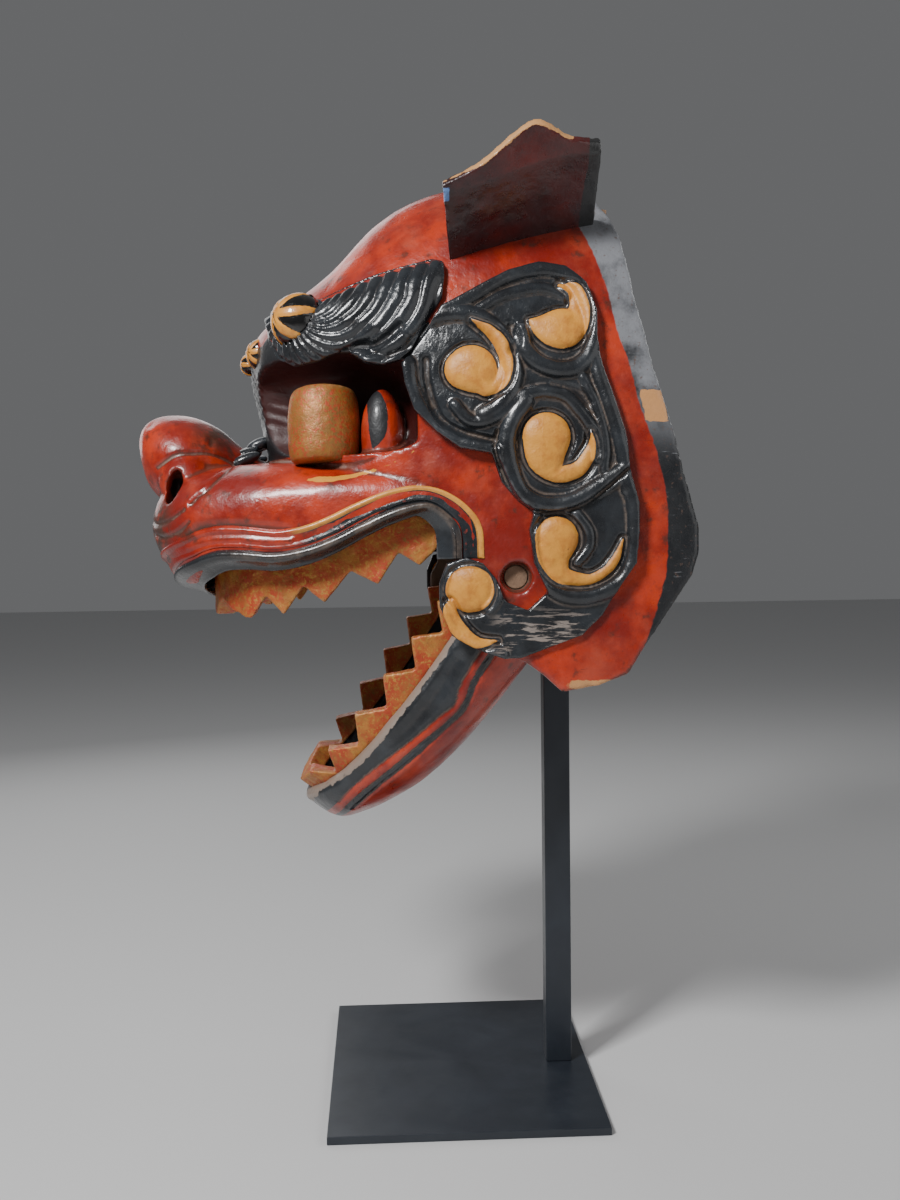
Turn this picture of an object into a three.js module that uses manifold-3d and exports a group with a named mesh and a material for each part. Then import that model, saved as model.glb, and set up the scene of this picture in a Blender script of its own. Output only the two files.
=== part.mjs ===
// Lion dance head on a display stand.
//
// A carved wooden head, hollow from the back rim to the teeth, with a lower jaw that swings on a
// wooden rod through both cheeks. It stands on a steel post welded to a flat steel plate.
// Millimetres, +Z up. The face looks towards -Y and the head's own left side is +X.
// The origin is the middle of the base plate's underside.

import * as THREE from 'three';
import { mergeVertices } from 'three/addons/utils/BufferGeometryUtils.js';
import Module from 'manifold-3d';

const wasm = await Module();
wasm.setup();

// Driving sizes

const GAP = 0.3;
const PLATE = { width: 250, depth: 200, thick: 6 };
const POST = { side: 20, y: 78, top: 640 };
const REST = { width: 90, depth: 70, height: 52 };
const WALL = 12;
const HINGE = { y: 35, z: 394, rod: 8, recess: 10.5, rodHalf: 132 };
const JAW_OPEN = THREE.MathUtils.degToRad(53.35);
const MANE_RELIEF = 9;
const BROW_RELIEF = 13;
const NOSE_WING = { x: 44, y: -198, z: 464, radius: 20 };
const NOSTRIL = { x: 62, y: -204, z: 459, radius: 6, stretch: [3.4, 1, 2.2], tilt: -12 };
const EYE = { x: 86, y: -95, z: 500, radius: 24.5, length: 54, turn: 8 };
const EYE_LUG = { x: 97, y: -54, z: 492, radius: 15, stretch: [1.1, 1, 2.2] };
const LIP = { roll: 5, rise: 3.5, sink: 1.5, steps: 16, sides: 6 };
const CURL_RING = { roll: 4.5, sink: 1, points: 8, steps: 9, sides: 5 };

// How many sides each skin has round its sections
const SIDES = { skull: 26, hollow: 22, muzzle: 20, nose: 16, socket: 14, mouth: 18, jaw: 18, trough: 14 };

// A cut that has to pass right through the head is this wide
const THROUGH = 400;

// Cross-sections from front to back. Each is a rounded outline in a plane of constant y:
// w is the half width at height mid, top and bottom are its heights, and crown and foot say how
// square its upper and lower halves are, where 2 is an ellipse and 8 is nearly a box.

const CRANIUM = [
  { y: -153, w: 14, mid: 553, top: 562, bottom: 534, crown: 2.0, foot: 1.3 },
  { y: -147, w: 40, mid: 552, top: 572, bottom: 508, crown: 2.2, foot: 1.2 },
  { y: -138, w: 64, mid: 550, top: 581, bottom: 470, crown: 2.2, foot: 1.3 },
  { y: -115, w: 92, mid: 546, top: 600, bottom: 430, crown: 2.2, foot: 1.8 },
  { y: -90, w: 108, mid: 536, top: 620, bottom: 420, crown: 2.2, foot: 2.6 },
  { y: -60, w: 120, mid: 520, top: 652, bottom: 400, crown: 2.2, foot: 4 },
  { y: -30, w: 129, mid: 500, top: 671, bottom: 330, crown: 2.3, foot: 6 },
  { y: 5, w: 136, mid: 480, top: 681, bottom: 260, crown: 2.4, foot: 8 },
  { y: 50, w: 141, mid: 455, top: 686, bottom: 240, crown: 2.4, foot: 8 },
  { y: 100, w: 143, mid: 440, top: 680, bottom: 240, crown: 2.4, foot: 8 },
  { y: 172, w: 146, mid: 430, top: 664, bottom: 240, crown: 2.4, foot: 8 },
];

const MUZZLE = [
  { y: -226, w: 30, mid: 431, top: 442, bottom: 420, crown: 2.2, foot: 2.0 },
  { y: -219, w: 58, mid: 431, top: 456, bottom: 405, crown: 2.4, foot: 2.0 },
  { y: -206, w: 78, mid: 431, top: 468, bottom: 388, crown: 2.6, foot: 2.2 },
  { y: -186, w: 94, mid: 432, top: 474, bottom: 376, crown: 2.8, foot: 3 },
  { y: -155, w: 108, mid: 434, top: 477, bottom: 360, crown: 3.0, foot: 4 },
  { y: -115, w: 119, mid: 438, top: 478, bottom: 340, crown: 3.2, foot: 5 },
  { y: -75, w: 126, mid: 442, top: 478, bottom: 340, crown: 3.2, foot: 6 },
  { y: -35, w: 131, mid: 442, top: 481, bottom: 340, crown: 3.2, foot: 6 },
  { y: 5, w: 134, mid: 440, top: 480, bottom: 340, crown: 3.2, foot: 6 },
  { y: 45, w: 136, mid: 436, top: 470, bottom: 340, crown: 3.2, foot: 6 },
];

const NOSE = [
  { y: -237, w: 14, mid: 494, top: 502, bottom: 484, crown: 2.0, foot: 2 },
  { y: -232, w: 34, mid: 489, top: 510, bottom: 464, crown: 2.2, foot: 2 },
  { y: -218, w: 50, mid: 480, top: 515, bottom: 448, crown: 2.2, foot: 2.2 },
  { y: -198, w: 56, mid: 474, top: 514, bottom: 436, crown: 2.2, foot: 2.4 },
  { y: -178, w: 48, mid: 470, top: 505, bottom: 436, crown: 2.2, foot: 2.4 },
  { y: -162, w: 36, mid: 466, top: 491, bottom: 436, crown: 2.2, foot: 2.4 },
  { y: -145, w: 24, mid: 460, top: 480, bottom: 436, crown: 2.2, foot: 2.4 },
];

// The hollow of the mouth, whose walls the upper teeth stand against
const MOUTH = [
  { y: -181, w: 34, mid: 400, top: 452, bottom: 300, crown: 6, foot: 8 },
  { y: -176, w: 54, mid: 400, top: 456, bottom: 300, crown: 6, foot: 8 },
  { y: -166, w: 71, mid: 400, top: 460, bottom: 300, crown: 6, foot: 8 },
  { y: -148, w: 87, mid: 400, top: 462, bottom: 300, crown: 6, foot: 8 },
  { y: -115, w: 101, mid: 400, top: 463, bottom: 300, crown: 6, foot: 8 },
  { y: -75, w: 110, mid: 400, top: 464, bottom: 300, crown: 6, foot: 8 },
  { y: -35, w: 116, mid: 400, top: 466, bottom: 300, crown: 6, foot: 8 },
  { y: 5, w: 120, mid: 400, top: 466, bottom: 300, crown: 6, foot: 8 },
  { y: 50, w: 124, mid: 400, top: 466, bottom: 300, crown: 6, foot: 8 },
];

// The eye socket on the left side, open to the front and to the side; x is its middle
const SOCKET = [
  { y: -182, x: 104, w: 70, mid: 514, top: 546, bottom: 482, crown: 3, foot: 4 },
  { y: -145, x: 104, w: 76, mid: 514, top: 546, bottom: 480, crown: 3, foot: 4 },
  { y: -110, x: 112, w: 70, mid: 514, top: 548, bottom: 479, crown: 3, foot: 4 },
  { y: -75, x: 120, w: 62, mid: 514, top: 548, bottom: 479, crown: 3, foot: 4 },
  { y: -45, x: 134, w: 52, mid: 512, top: 544, bottom: 481, crown: 3, foot: 4 },
  { y: -30, x: 138, w: 34, mid: 510, top: 534, bottom: 486, crown: 2.5, foot: 3 },
];

// The lower jaw lies along its own y axis with the hinge rod at y 0, z 0
const JAW = [
  { y: -225, w: 30, mid: 8, top: 20, bottom: -3, crown: 3, foot: 2.2 },
  { y: -220, w: 52, mid: 4, top: 23, bottom: -13, crown: 4, foot: 2.2 },
  { y: -208, w: 74, mid: 0, top: 20, bottom: -21, crown: 6, foot: 2.3 },
  { y: -188, w: 91, mid: -4, top: 15, bottom: -32, crown: 8, foot: 2.4 },
  { y: -158, w: 104, mid: -6, top: 11, bottom: -44, crown: 8, foot: 2.6 },
  { y: -115, w: 112, mid: -8, top: 9, bottom: -51, crown: 8, foot: 2.8 },
  { y: -65, w: 117, mid: -8, top: 10, bottom: -53, crown: 8, foot: 3 },
  { y: -15, w: 119, mid: -8, top: 16, bottom: -54, crown: 8, foot: 3 },
  { y: 26, w: 119, mid: -8, top: 24, bottom: -54, crown: 8, foot: 3 },
];

// Side outlines, as y and z of each corner

// Under the front of the lip, along the mouth, round the cheek and up the back rim
const HEAD_EDGE = [
  [-250, 385], [-205, 385], [-188, 386], [-174, 410], [-152, 412], [-111, 412], [-90, 418], [-69, 431],
  [-43, 445], [-29, 448], [-15, 445], [-8, 434], [-6, 414], [-8, 398], [-14, 388], [-14, 374],
  [-7, 358], [8, 348], [26, 341], [38, 338], [52, 328], [65, 316], [89, 320], [110, 328],
  [121, 346], [153, 394], [158, 410], [158, 427], [148, 461], [142, 490], [129, 534], [124, 560],
  [119, 582], [117, 602], [113, 628], [108, 645], [102, 655], [96, 690], [94, 740], [-250, 740],
];

// The black panel of curls on the cheek
const MANE_EDGE = [
  [-13, 576], [9, 588], [32, 600], [53, 606], [71, 603], [85, 592], [91, 572], [90, 554],
  [94, 534], [103, 511], [109, 490], [110, 467], [116, 444], [116, 423], [114, 403], [104, 389],
  [92, 369], [78, 355], [37, 340], [26, 339.5], [7, 346], [-9, 355], [-17, 375], [-17, 391],
  [-12, 404], [1, 408], [12, 404], [20, 394], [27, 378], [42, 372], [55, 384], [46, 404],
  [43, 426], [46, 438], [35, 446], [25, 458], [19, 477], [-2, 481], [-17, 492], [-32, 507],
  [-38, 525], [-40, 538],
];

// The comma-shaped curls: the disc, then the turn of its tail and the radius of the ring round it
const CURLS = [
  { name: 'front', y: 4, z: 532, disc: 18, ring: 27, from: 60, sweep: 300 },
  { name: 'top', y: 63, z: 561, disc: 17, ring: 24, from: 200, sweep: -300 },
  { name: 'middle', y: 55, z: 485, disc: 17, ring: 26, from: -30, sweep: 300 },
  { name: 'low', y: 61, z: 420, disc: 16, ring: 25, from: -60, sweep: 280 },
  { name: 'mouth', y: 1.5, z: 386, disc: 16.5, ring: 0, from: 0, sweep: 0 },
];

// The hair of the brow, which wraps under the large ball
const BROW_EDGE = [
  [-104, 594], [-97, 589], [-78, 596], [-54, 604], [-37, 608], [-18, 612], [-11, 610], [-11, 600],
  [-13, 585], [-27, 564], [-34, 549], [-51, 542], [-74, 544], [-82, 553], [-96, 547], [-112, 544],
  [-128, 550], [-137, 564], [-138, 580],
];

// Brow balls: the two large ones and the two small ones, then the one on the middle line
const BROW_BALLS = [
  { name: 'brow_ball_outer', x: 86, y: -111, z: 573, radius: 20 },
  { name: 'brow_ball_inner', x: 36, y: -142, z: 557, radius: 12 },
];
const MIDDLE_BALL = { name: 'brow_ball_middle', x: 0, y: -152, z: 554, radius: 10 };

// The left ear from front to back: its root on the head, the crease where it turns up, and its edge
const EAR = [
  { rootY: -3, rootZ: 612, creaseY: -12, creaseZ: 648, edgeY: -13, edgeZ: 652, edgeX: 151 },
  { rootY: 18, rootZ: 619, creaseY: 14, creaseZ: 654, edgeY: 12, edgeZ: 664, edgeX: 154 },
  { rootY: 45, rootZ: 627, creaseY: 43, creaseZ: 665, edgeY: 46, edgeZ: 689, edgeX: 158 },
  { rootY: 72, rootZ: 636, creaseY: 70, creaseZ: 672, edgeY: 71, edgeZ: 681, edgeX: 154 },
  { rootY: 97, rootZ: 644, creaseY: 92, creaseZ: 674, edgeY: 92, edgeZ: 680, edgeX: 150 },
];
const EAR_RULES = { creaseX: 149, thick: 6, lean: 41, creaseAt: 0.7, sink: 26, sinkDown: 21, rows: 6 };

// Teeth: the tips of the saw edge along each row, and how far the notches between them rise
const UPPER_TEETH = { thick: 12, rise: 16, lastNotch: 16, gum: 448 };
const UPPER_TIPS = [[-150, 363], [-125, 368.5], [-96, 377], [-58.5, 389.5], [-29.5, 402]];
const FRONT_TEETH = { y: -190, tip: 366, rise: 12, pitch: 20, count: 4, half: 110 };
const LOWER_TEETH = { thick: 12, inset: 7, rise: 16, lastNotch: 15, gum: 0, tip: 32 };
const LOWER_TIPS_Y = [-200, -177.5, -144, -109.5, -76, -45];

// The side outline of the lower jaw in its own frame: it ends in an eye round the hinge rod
const JAW_EDGE = [
  [-240, 60], [-240, -70], [-48, -70], [-34, -52], [8, -30], [20, -14], [24, 0], [20, 13], [10, 22],
  [-4, 24], [-30, 14], [-40, 60],
];
const JAW_TROUGH = { wall: 11, above: 40, mouthWidth: 210, mouthFrom: -28, mouthTo: 52 };

// Materials

const finish = (color, roughness, metalness = 0) => (
  new THREE.MeshStandardMaterial({ color, roughness, metalness }));
const redLacquer = finish(0xb8321a, 0.38);
const blackLacquer = finish(0x1b1b1d, 0.4);
const gilding = finish(0xb07a35, 0.5, 0.3);
const ballLacquer = finish(0x16130f, 0.3);
const darkRed = finish(0x4a1512, 0.45);
const bareWood = finish(0x6b4a33, 0.8);
const blackSteel = finish(0x22262c, 0.45, 0.8);

// Solids

function solid(geometry) {
  const bare = geometry.clone();
  for (const name of Object.keys(bare.attributes)) {
    if (name !== 'position') bare.deleteAttribute(name);
  }
  const merged = mergeVertices(bare, 1e-4);
  return new wasm.Manifold(new wasm.Mesh({
    numProp: 3,
    vertProperties: new Float32Array(merged.attributes.position.array),
    triVerts: outward(merged),
  }));
}

// The triangles of a merged geometry, turned so that they face out and without empty ones
function outward(geometry) {
  const point = geometry.attributes.position;
  const index = geometry.index.array;
  const corner = [new THREE.Vector3(), new THREE.Vector3(), new THREE.Vector3()];
  const kept = [];
  let volume = 0;
  for (let i = 0; i < index.length; i += 3) {
    const triangle = [index[i], index[i + 1], index[i + 2]];
    if (new Set(triangle).size < 3) continue;
    triangle.forEach((vertex, k) => corner[k].fromBufferAttribute(point, vertex));
    volume += corner[0].dot(corner[1].clone().cross(corner[2]));
    kept.push(triangle);
  }
  return new Uint32Array(kept.flatMap(([a, b, c]) => (volume < 0 ? [a, c, b] : [a, b, c])));
}

function meshOf(name, body, material) {
  const { vertProperties, triVerts, numProp } = body.getMesh();
  const points = new Float32Array((vertProperties.length / numProp) * 3);
  for (let i = 0; i < points.length / 3; i++) {
    for (let axis = 0; axis < 3; axis++) points[3 * i + axis] = vertProperties[numProp * i + axis];
  }
  const geometry = new THREE.BufferGeometry();
  geometry.setAttribute('position', new THREE.BufferAttribute(points, 3));
  geometry.setIndex([...triVerts]);
  const flat = geometry.toNonIndexed();
  flat.computeVertexNormals();
  const mesh = new THREE.Mesh(flat, material);
  mesh.name = name;
  return mesh;
}

// One column of a table at a station, on a smooth curve through the rows
function column(rows, key, y) {
  const last = rows.length - 1;
  const value = (i) => rows[i][key] ?? 0;
  const slope = (i) => {
    const a = Math.max(i - 1, 0);
    const b = Math.min(i + 1, last);
    return (value(b) - value(a)) / (rows[b].y - rows[a].y);
  };
  let i = 0;
  while (i < last - 1 && y > rows[i + 1].y) i++;
  const step = rows[i + 1].y - rows[i].y;
  const t = THREE.MathUtils.clamp((y - rows[i].y) / step, 0, 1);
  const h = t * t * (3 - 2 * t);
  const rise = t * (1 - t) * step;
  return value(i) * (1 - h) + value(i + 1) * h + rise * ((1 - t) * slope(i) - t * slope(i + 1));
}

// How far out the surface lies at y, z
function reach(rows, y, z, grow = 0) {
  const mid = column(rows, 'mid', y);
  const upper = z > mid;
  const half = grow + (upper ? column(rows, 'top', y) - mid : mid - column(rows, 'bottom', y));
  const power = column(rows, upper ? 'crown' : 'foot', y);
  const level = Math.min(Math.abs(z - mid) / half, 1);
  return (column(rows, 'w', y) + grow) * (1 - level ** power) ** (1 / power);
}

// A closed skin through the cross-sections, grown or shrunk by grow and moved back by shift:
// a capped cylinder whose rings are moved onto the sections
function skin(rows, sides, { grow = 0, shift = 0 } = {}) {
  const spans = rows.length - 1;
  const bare = new THREE.CylinderGeometry(1, 1, 1, sides, spans);
  bare.deleteAttribute('normal');
  bare.deleteAttribute('uv');
  const body = mergeVertices(bare);
  const point = body.attributes.position;
  for (let i = 0; i < point.count; i++) {
    const along = (point.getY(i) + 0.5) * spans;
    const first = Math.min(Math.floor(along + 1e-6), spans - 1);
    const y = THREE.MathUtils.lerp(rows[first].y, rows[first + 1].y, along - first);
    const onAxis = Math.hypot(point.getX(i), point.getZ(i)) < 0.5;
    const angle = Math.atan2(point.getZ(i), point.getX(i));
    const up = Math.sin(angle);
    const side = Math.cos(angle);
    const mid = column(rows, 'mid', y);
    const half = grow + (up > 0 ? column(rows, 'top', y) - mid : mid - column(rows, 'bottom', y));
    const power = 2 / column(rows, up > 0 ? 'crown' : 'foot', y);
    const out = onAxis ? 0 : (column(rows, 'w', y) + grow) * Math.sign(side) * Math.abs(side) ** power;
    const rise = onAxis ? 0 : half * Math.sign(up) * Math.abs(up) ** power;
    point.setXYZ(i, column(rows, 'x', y) + out, y + shift, mid + rise);
  }
  return solid(body);
}

// A side outline as a solid that runs right across the head
function across(corners) {
  const shape = new THREE.Shape(corners.map(([y, z]) => new THREE.Vector2(y, z)));
  const body = new THREE.ExtrudeGeometry(shape, { depth: THROUGH, bevelEnabled: false });
  body.translate(0, 0, -THROUGH / 2);
  body.applyMatrix4(new THREE.Matrix4().makeBasis(
    new THREE.Vector3(0, 1, 0), new THREE.Vector3(0, 0, 1), new THREE.Vector3(1, 0, 0)));
  return solid(body);
}

// A ball, or an egg where it is stretched along x, y and z; tilt turns it about x
function ball({ x, y, z, radius, stretch = [1, 1, 1], tilt = 0 }, { sides = 12, grow = 0 } = {}) {
  const body = new THREE.SphereGeometry(radius + grow, sides, Math.round(sides * 0.6));
  body.scale(...stretch);
  body.rotateX(THREE.MathUtils.degToRad(tilt));
  body.translate(x, y, z);
  return solid(body);
}

// A round rod along x between two stations
function rod(radius, fromX, toX, y, z) {
  const body = new THREE.CylinderGeometry(radius, radius, toX - fromX, 24);
  body.rotateZ(Math.PI / 2);
  body.translate((fromX + toX) / 2, y, z);
  return solid(body);
}

function box(width, depth, height, x, y, z) {
  const body = new THREE.BoxGeometry(width, depth, height);
  body.translate(x, y, z);
  return solid(body);
}

// A round bar along a curve
function bar(points, radius, steps, sides) {
  const section = new THREE.Shape().absarc(0, 0, radius, 0, 2 * Math.PI);
  return solid(new THREE.ExtrudeGeometry(section, {
    steps,
    curveSegments: sides / 2,
    bevelEnabled: false,
    extrudePath: new THREE.CatmullRomCurve3(points),
  }));
}

const mirrored = (body) => body.mirror([1, 0, 0]);
const both = (body) => body.add(mirrored(body));
const rightSide = box(THROUGH, 1000, 1000, -THROUGH / 2, 0, 450);
const leftHalf = (body) => body.subtract(rightSide);

// Upper head: forehead, cheeks, muzzle and nose carved from one block and hollowed out

function upperHead() {
  const socket = skin(SOCKET, SIDES.socket);
  const socketWall = skin(SOCKET, SIDES.socket, { grow: WALL })
    .add(skin(SOCKET, SIDES.socket, { grow: WALL, shift: WALL }));
  const outside = skin(CRANIUM, SIDES.skull)
    .add(skin(MUZZLE, SIDES.muzzle))
    .add(skin(NOSE, SIDES.nose))
    .add(both(ball(NOSE_WING)))
    .subtract(both(socket))
    .add(both(ball(EYE_LUG)))
    .intersect(across(HEAD_EDGE))
    .add(both(bar(lipPath(), LIP.roll, LIP.steps, LIP.sides)));
  const faceBlock = box(THROUGH, 60, 140, 0, -130, 520);
  const hollow = skin(CRANIUM, SIDES.hollow, { grow: -WALL, shift: WALL })
    .subtract(both(socketWall))
    .subtract(faceBlock)
    .add(skin(MOUTH, SIDES.mouth));
  const rodHole = rod(HINGE.rod + GAP, 0, THROUGH / 2, HINGE.y, HINGE.z);
  const rodRecess = rod(HINGE.recess, HINGE.rodHalf + GAP, THROUGH / 2, HINGE.y, HINGE.z);
  return both(leftHalf(outside
    .subtract(hollow)
    .subtract(ball(NOSTRIL))
    .subtract(rodHole)
    .subtract(rodRecess)));
}

// The raised lip follows the lower edge of the muzzle on its surface, from the front to the corner
function lipPath() {
  const corners = HEAD_EDGE.filter(([y, z]) => y >= -174 && y <= -6 && z >= 398);
  return corners.map(([y, z]) => (
    new THREE.Vector3(reach(MUZZLE, y, z + LIP.rise) - LIP.sink, y, z + LIP.rise)));
}

// The space that the head takes up, for what is carved to sit on it
const headClear = skin(CRANIUM, SIDES.skull, { grow: GAP })
  .add(skin(MUZZLE, SIDES.muzzle, { grow: GAP }))
  .add(bar(lipPath(), LIP.roll + GAP, LIP.steps, LIP.sides));

// A raised panel: an outline across the head, between the surface and the height of the relief
function relief(edge, height) {
  return leftHalf(across(edge).intersect(skin(CRANIUM, SIDES.skull, { grow: height })));
}

// A panel of curls: each disc stands in a ring that ends in a tail
function mane() {
  let panel = relief(MANE_EDGE, MANE_RELIEF);
  for (const curl of CURLS) {
    const x = reach(CRANIUM, curl.y, curl.z, MANE_RELIEF) - CURL_RING.sink;
    const dome = { x, y: curl.y, z: curl.z, radius: curl.disc, stretch: [0.4, 1, 1] };
    panel = panel.add(ball(dome, { sides: 10 }));
    if (curl.ring > 0) {
      panel = panel.add(bar(ringPath(curl), CURL_RING.roll, CURL_RING.steps, CURL_RING.sides));
    }
  }
  return panel.subtract(headClear);
}

function ringPath(curl) {
  const points = [];
  for (let step = 0; step <= CURL_RING.points; step++) {
    const turn = THREE.MathUtils.degToRad(curl.from + (curl.sweep * step) / CURL_RING.points);
    const y = curl.y + curl.ring * Math.cos(turn);
    const z = curl.z + curl.ring * Math.sin(turn);
    points.push(new THREE.Vector3(reach(CRANIUM, y, z, MANE_RELIEF) - CURL_RING.sink, y, z));
  }
  return points;
}

function brow() {
  const sockets = BROW_BALLS.map((spec) => ball(spec, { grow: GAP }));
  return sockets.reduce((hair, socket) => hair.subtract(socket), relief(BROW_EDGE, BROW_RELIEF))
    .subtract(headClear);
}

// An ear is a leaning board, bent from a thin box: up from the root to the crease, then out to the edge
function ear() {
  const spans = EAR.length - 1;
  const bare = new THREE.BoxGeometry(1, 1, 1, spans * 2, EAR_RULES.rows, 1);
  bare.deleteAttribute('normal');
  bare.deleteAttribute('uv');
  const body = mergeVertices(bare);
  const point = body.attributes.position;
  const table = EAR.map((row, i) => ({ ...row, y: i }));
  const lean = THREE.MathUtils.degToRad(EAR_RULES.lean);
  for (let i = 0; i < point.count; i++) {
    const at = (key) => column(table, key, (point.getX(i) + 0.5) * spans);
    const up = point.getY(i) + 0.5;
    const face = point.getZ(i) * EAR_RULES.thick;
    const low = Math.min(up / EAR_RULES.creaseAt, 1);
    const high = Math.max((up - EAR_RULES.creaseAt) / (1 - EAR_RULES.creaseAt), 0);
    const bend = (root, crease, edge) => THREE.MathUtils.lerp(root, crease, low) + high * (edge - crease);
    const rootX = reach(CRANIUM, at('rootY'), at('rootZ')) - EAR_RULES.sink;
    const x = bend(rootX, EAR_RULES.creaseX, at('edgeX'));
    const y = bend(at('rootY'), at('creaseY'), at('edgeY'));
    const z = bend(at('rootZ') - EAR_RULES.sinkDown, at('creaseZ'), at('edgeZ'));
    point.setXYZ(i, x - face * Math.sin(lean), y, z + face * Math.cos(lean));
  }
  return solid(body).subtract(headClear);
}

// An eye is a barrel on end in its socket, as wide at the middle as the socket is high
function eye() {
  const { radius, length } = EYE;
  const half = length / 2;
  const profile = [
    [0, -half], [radius * 0.8, -half], [radius * 0.96, -half + 4], [radius * 1.02, 0],
    [radius, half - 12], [radius * 0.8, half - 2], [0, half],
  ];
  const body = new THREE.LatheGeometry(profile.map(([r, along]) => new THREE.Vector2(r, along)), 14);
  body.rotateZ(THREE.MathUtils.degToRad(EYE.turn));
  body.translate(EYE.x, EYE.y, EYE.z);
  const socketWall = headClear.subtract(skin(SOCKET, SIDES.socket, { grow: -GAP }));
  return solid(body).subtract(socketWall).subtract(ball(EYE_LUG, { grow: GAP }));
}

// A saw edge as a side outline: the tips, the notches between them, and the gum behind them
function sawEdge(tips, { rise, lastNotch, gum }) {
  const beyond = 80;
  const corners = [];
  tips.forEach(([y, z], i) => {
    corners.push([y, z]);
    const [nextY, nextZ] = tips[i + 1] ?? [y + 2 * lastNotch, z];
    corners.push([(y + nextY) / 2, (z + nextZ) / 2 + rise]);
  });
  const [frontY, frontZ] = tips[0];
  const [backY] = corners.at(-1);
  return [[frontY - beyond, frontZ], ...corners, [backY, gum], [frontY - beyond, gum]];
}

// The saw edge of the upper row across the front, as a solid
function frontSaw() {
  const { y, tip, rise, pitch, count, half } = FRONT_TEETH;
  const corners = [];
  for (let i = -count; i <= count; i++) corners.push([i * pitch, tip + (i % 2 === 0 ? 0 : rise)]);
  const { gum } = UPPER_TEETH;
  const outline = [...corners, [half, tip], [half, gum], [-half, gum], [-half, tip]];
  const depth = 60;
  const body = new THREE.ExtrudeGeometry(
    new THREE.Shape(outline.map(([x, z]) => new THREE.Vector2(x, z))), { depth, bevelEnabled: false });
  body.rotateX(Math.PI / 2);
  body.translate(0, y + depth - 10, 0);
  return solid(body);
}

function upperTeeth() {
  const { thick } = UPPER_TEETH;
  const outside = skin(MOUTH, SIDES.mouth, { grow: -GAP, shift: 2 * GAP });
  const inside = skin(MOUTH, SIDES.mouth, { grow: -thick, shift: thick });
  const sideRows = box(THROUGH, 400, 300, 0, 52, 400);
  return outside
    .subtract(inside)
    .intersect(across(sawEdge(UPPER_TIPS, UPPER_TEETH)))
    .intersect(frontSaw().add(sideRows));
}

function lowerJaw() {
  const { wall, above, mouthWidth, mouthFrom, mouthTo } = JAW_TROUGH;
  const tall = JAW.map((row) => ({ ...row, top: row.top + above }));
  const trough = skin(tall, SIDES.trough, { grow: -wall, shift: wall });
  const throat = box(mouthWidth, mouthTo - mouthFrom, 140, 0, (mouthFrom + mouthTo) / 2, 0);
  const rodHole = rod(HINGE.rod + GAP, -THROUGH / 2, THROUGH / 2, 0, 0);
  return skin(JAW, SIDES.jaw).intersect(across(JAW_EDGE)).subtract(trough).subtract(throat)
    .subtract(rodHole);
}

function lowerTeeth() {
  const { thick, inset, tip } = LOWER_TEETH;
  const tall = JAW.map((row) => ({ ...row, mid: 10, top: 60, bottom: -20, crown: 8, foot: 8 }));
  const outside = skin(tall, SIDES.jaw, { grow: -inset, shift: inset });
  const inside = skin(tall, SIDES.jaw, { grow: -inset - thick, shift: inset + thick });
  const upsideDown = sawEdge(LOWER_TIPS_Y.map((y) => [y, -tip]), LOWER_TEETH);
  return outside
    .subtract(inside)
    .intersect(across(upsideDown.map(([y, z]) => [y, -z])))
    .subtract(skin(JAW, SIDES.jaw, { grow: GAP }));
}

// Assembly

const model = new THREE.Group();
const add = (name, body, material) => model.add(meshOf(name, body, material));
const pair = (name, body, material) => {
  add(`${name}_left`, body, material);
  add(`${name}_right`, mirrored(body), material);
};

add('base_plate', box(PLATE.width, PLATE.depth, PLATE.thick, 0, 0, PLATE.thick / 2), blackSteel);
const postHeight = POST.top - PLATE.thick;
add('post', box(POST.side, POST.side, postHeight, 0, POST.y, PLATE.thick + postHeight / 2), blackSteel);
const restBlock = box(REST.width, REST.depth, REST.height, 0, POST.y, POST.top + REST.height / 2);
const underDome = skin(CRANIUM, SIDES.hollow, { grow: -WALL - GAP, shift: WALL });
add('head_rest', both(leftHalf(restBlock.intersect(underDome))), bareWood);

add('upper_head', upperHead(), redLacquer);
pair('mane_curls', mane(), blackLacquer);
pair('brow_hair', brow(), blackLacquer);
for (const spec of BROW_BALLS) pair(spec.name, ball(spec).subtract(headClear), ballLacquer);
add(MIDDLE_BALL.name, ball(MIDDLE_BALL).subtract(headClear), ballLacquer);
pair('eye', eye(), gilding);
pair('ear', ear(), darkRed);
add('upper_teeth', upperTeeth(), gilding);

const jaw = new THREE.Group();
jaw.position.set(0, HINGE.y, HINGE.z);
jaw.rotation.x = JAW_OPEN;
jaw.add(meshOf('lower_jaw', lowerJaw(), redLacquer));
jaw.add(meshOf('lower_teeth', lowerTeeth(), gilding));
jaw.add(meshOf('hinge_rod', rod(HINGE.rod, -HINGE.rodHalf, HINGE.rodHalf, 0, 0), bareWood));
model.add(jaw);

export default model;
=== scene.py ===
# %% [markdown]
# # An old lion dance head on its display stand
# This lesson builds the looks of a carved, lacquered and gilded wooden lion head.
# The frame below holds the plain solids of the same object. They give each piece its place and its
# size, and the pieces made here are the carved and painted ones that stand for them.

import math

import bmesh
import bpy
import numpy as np
from mathutils import Matrix, Vector, noise


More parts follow.
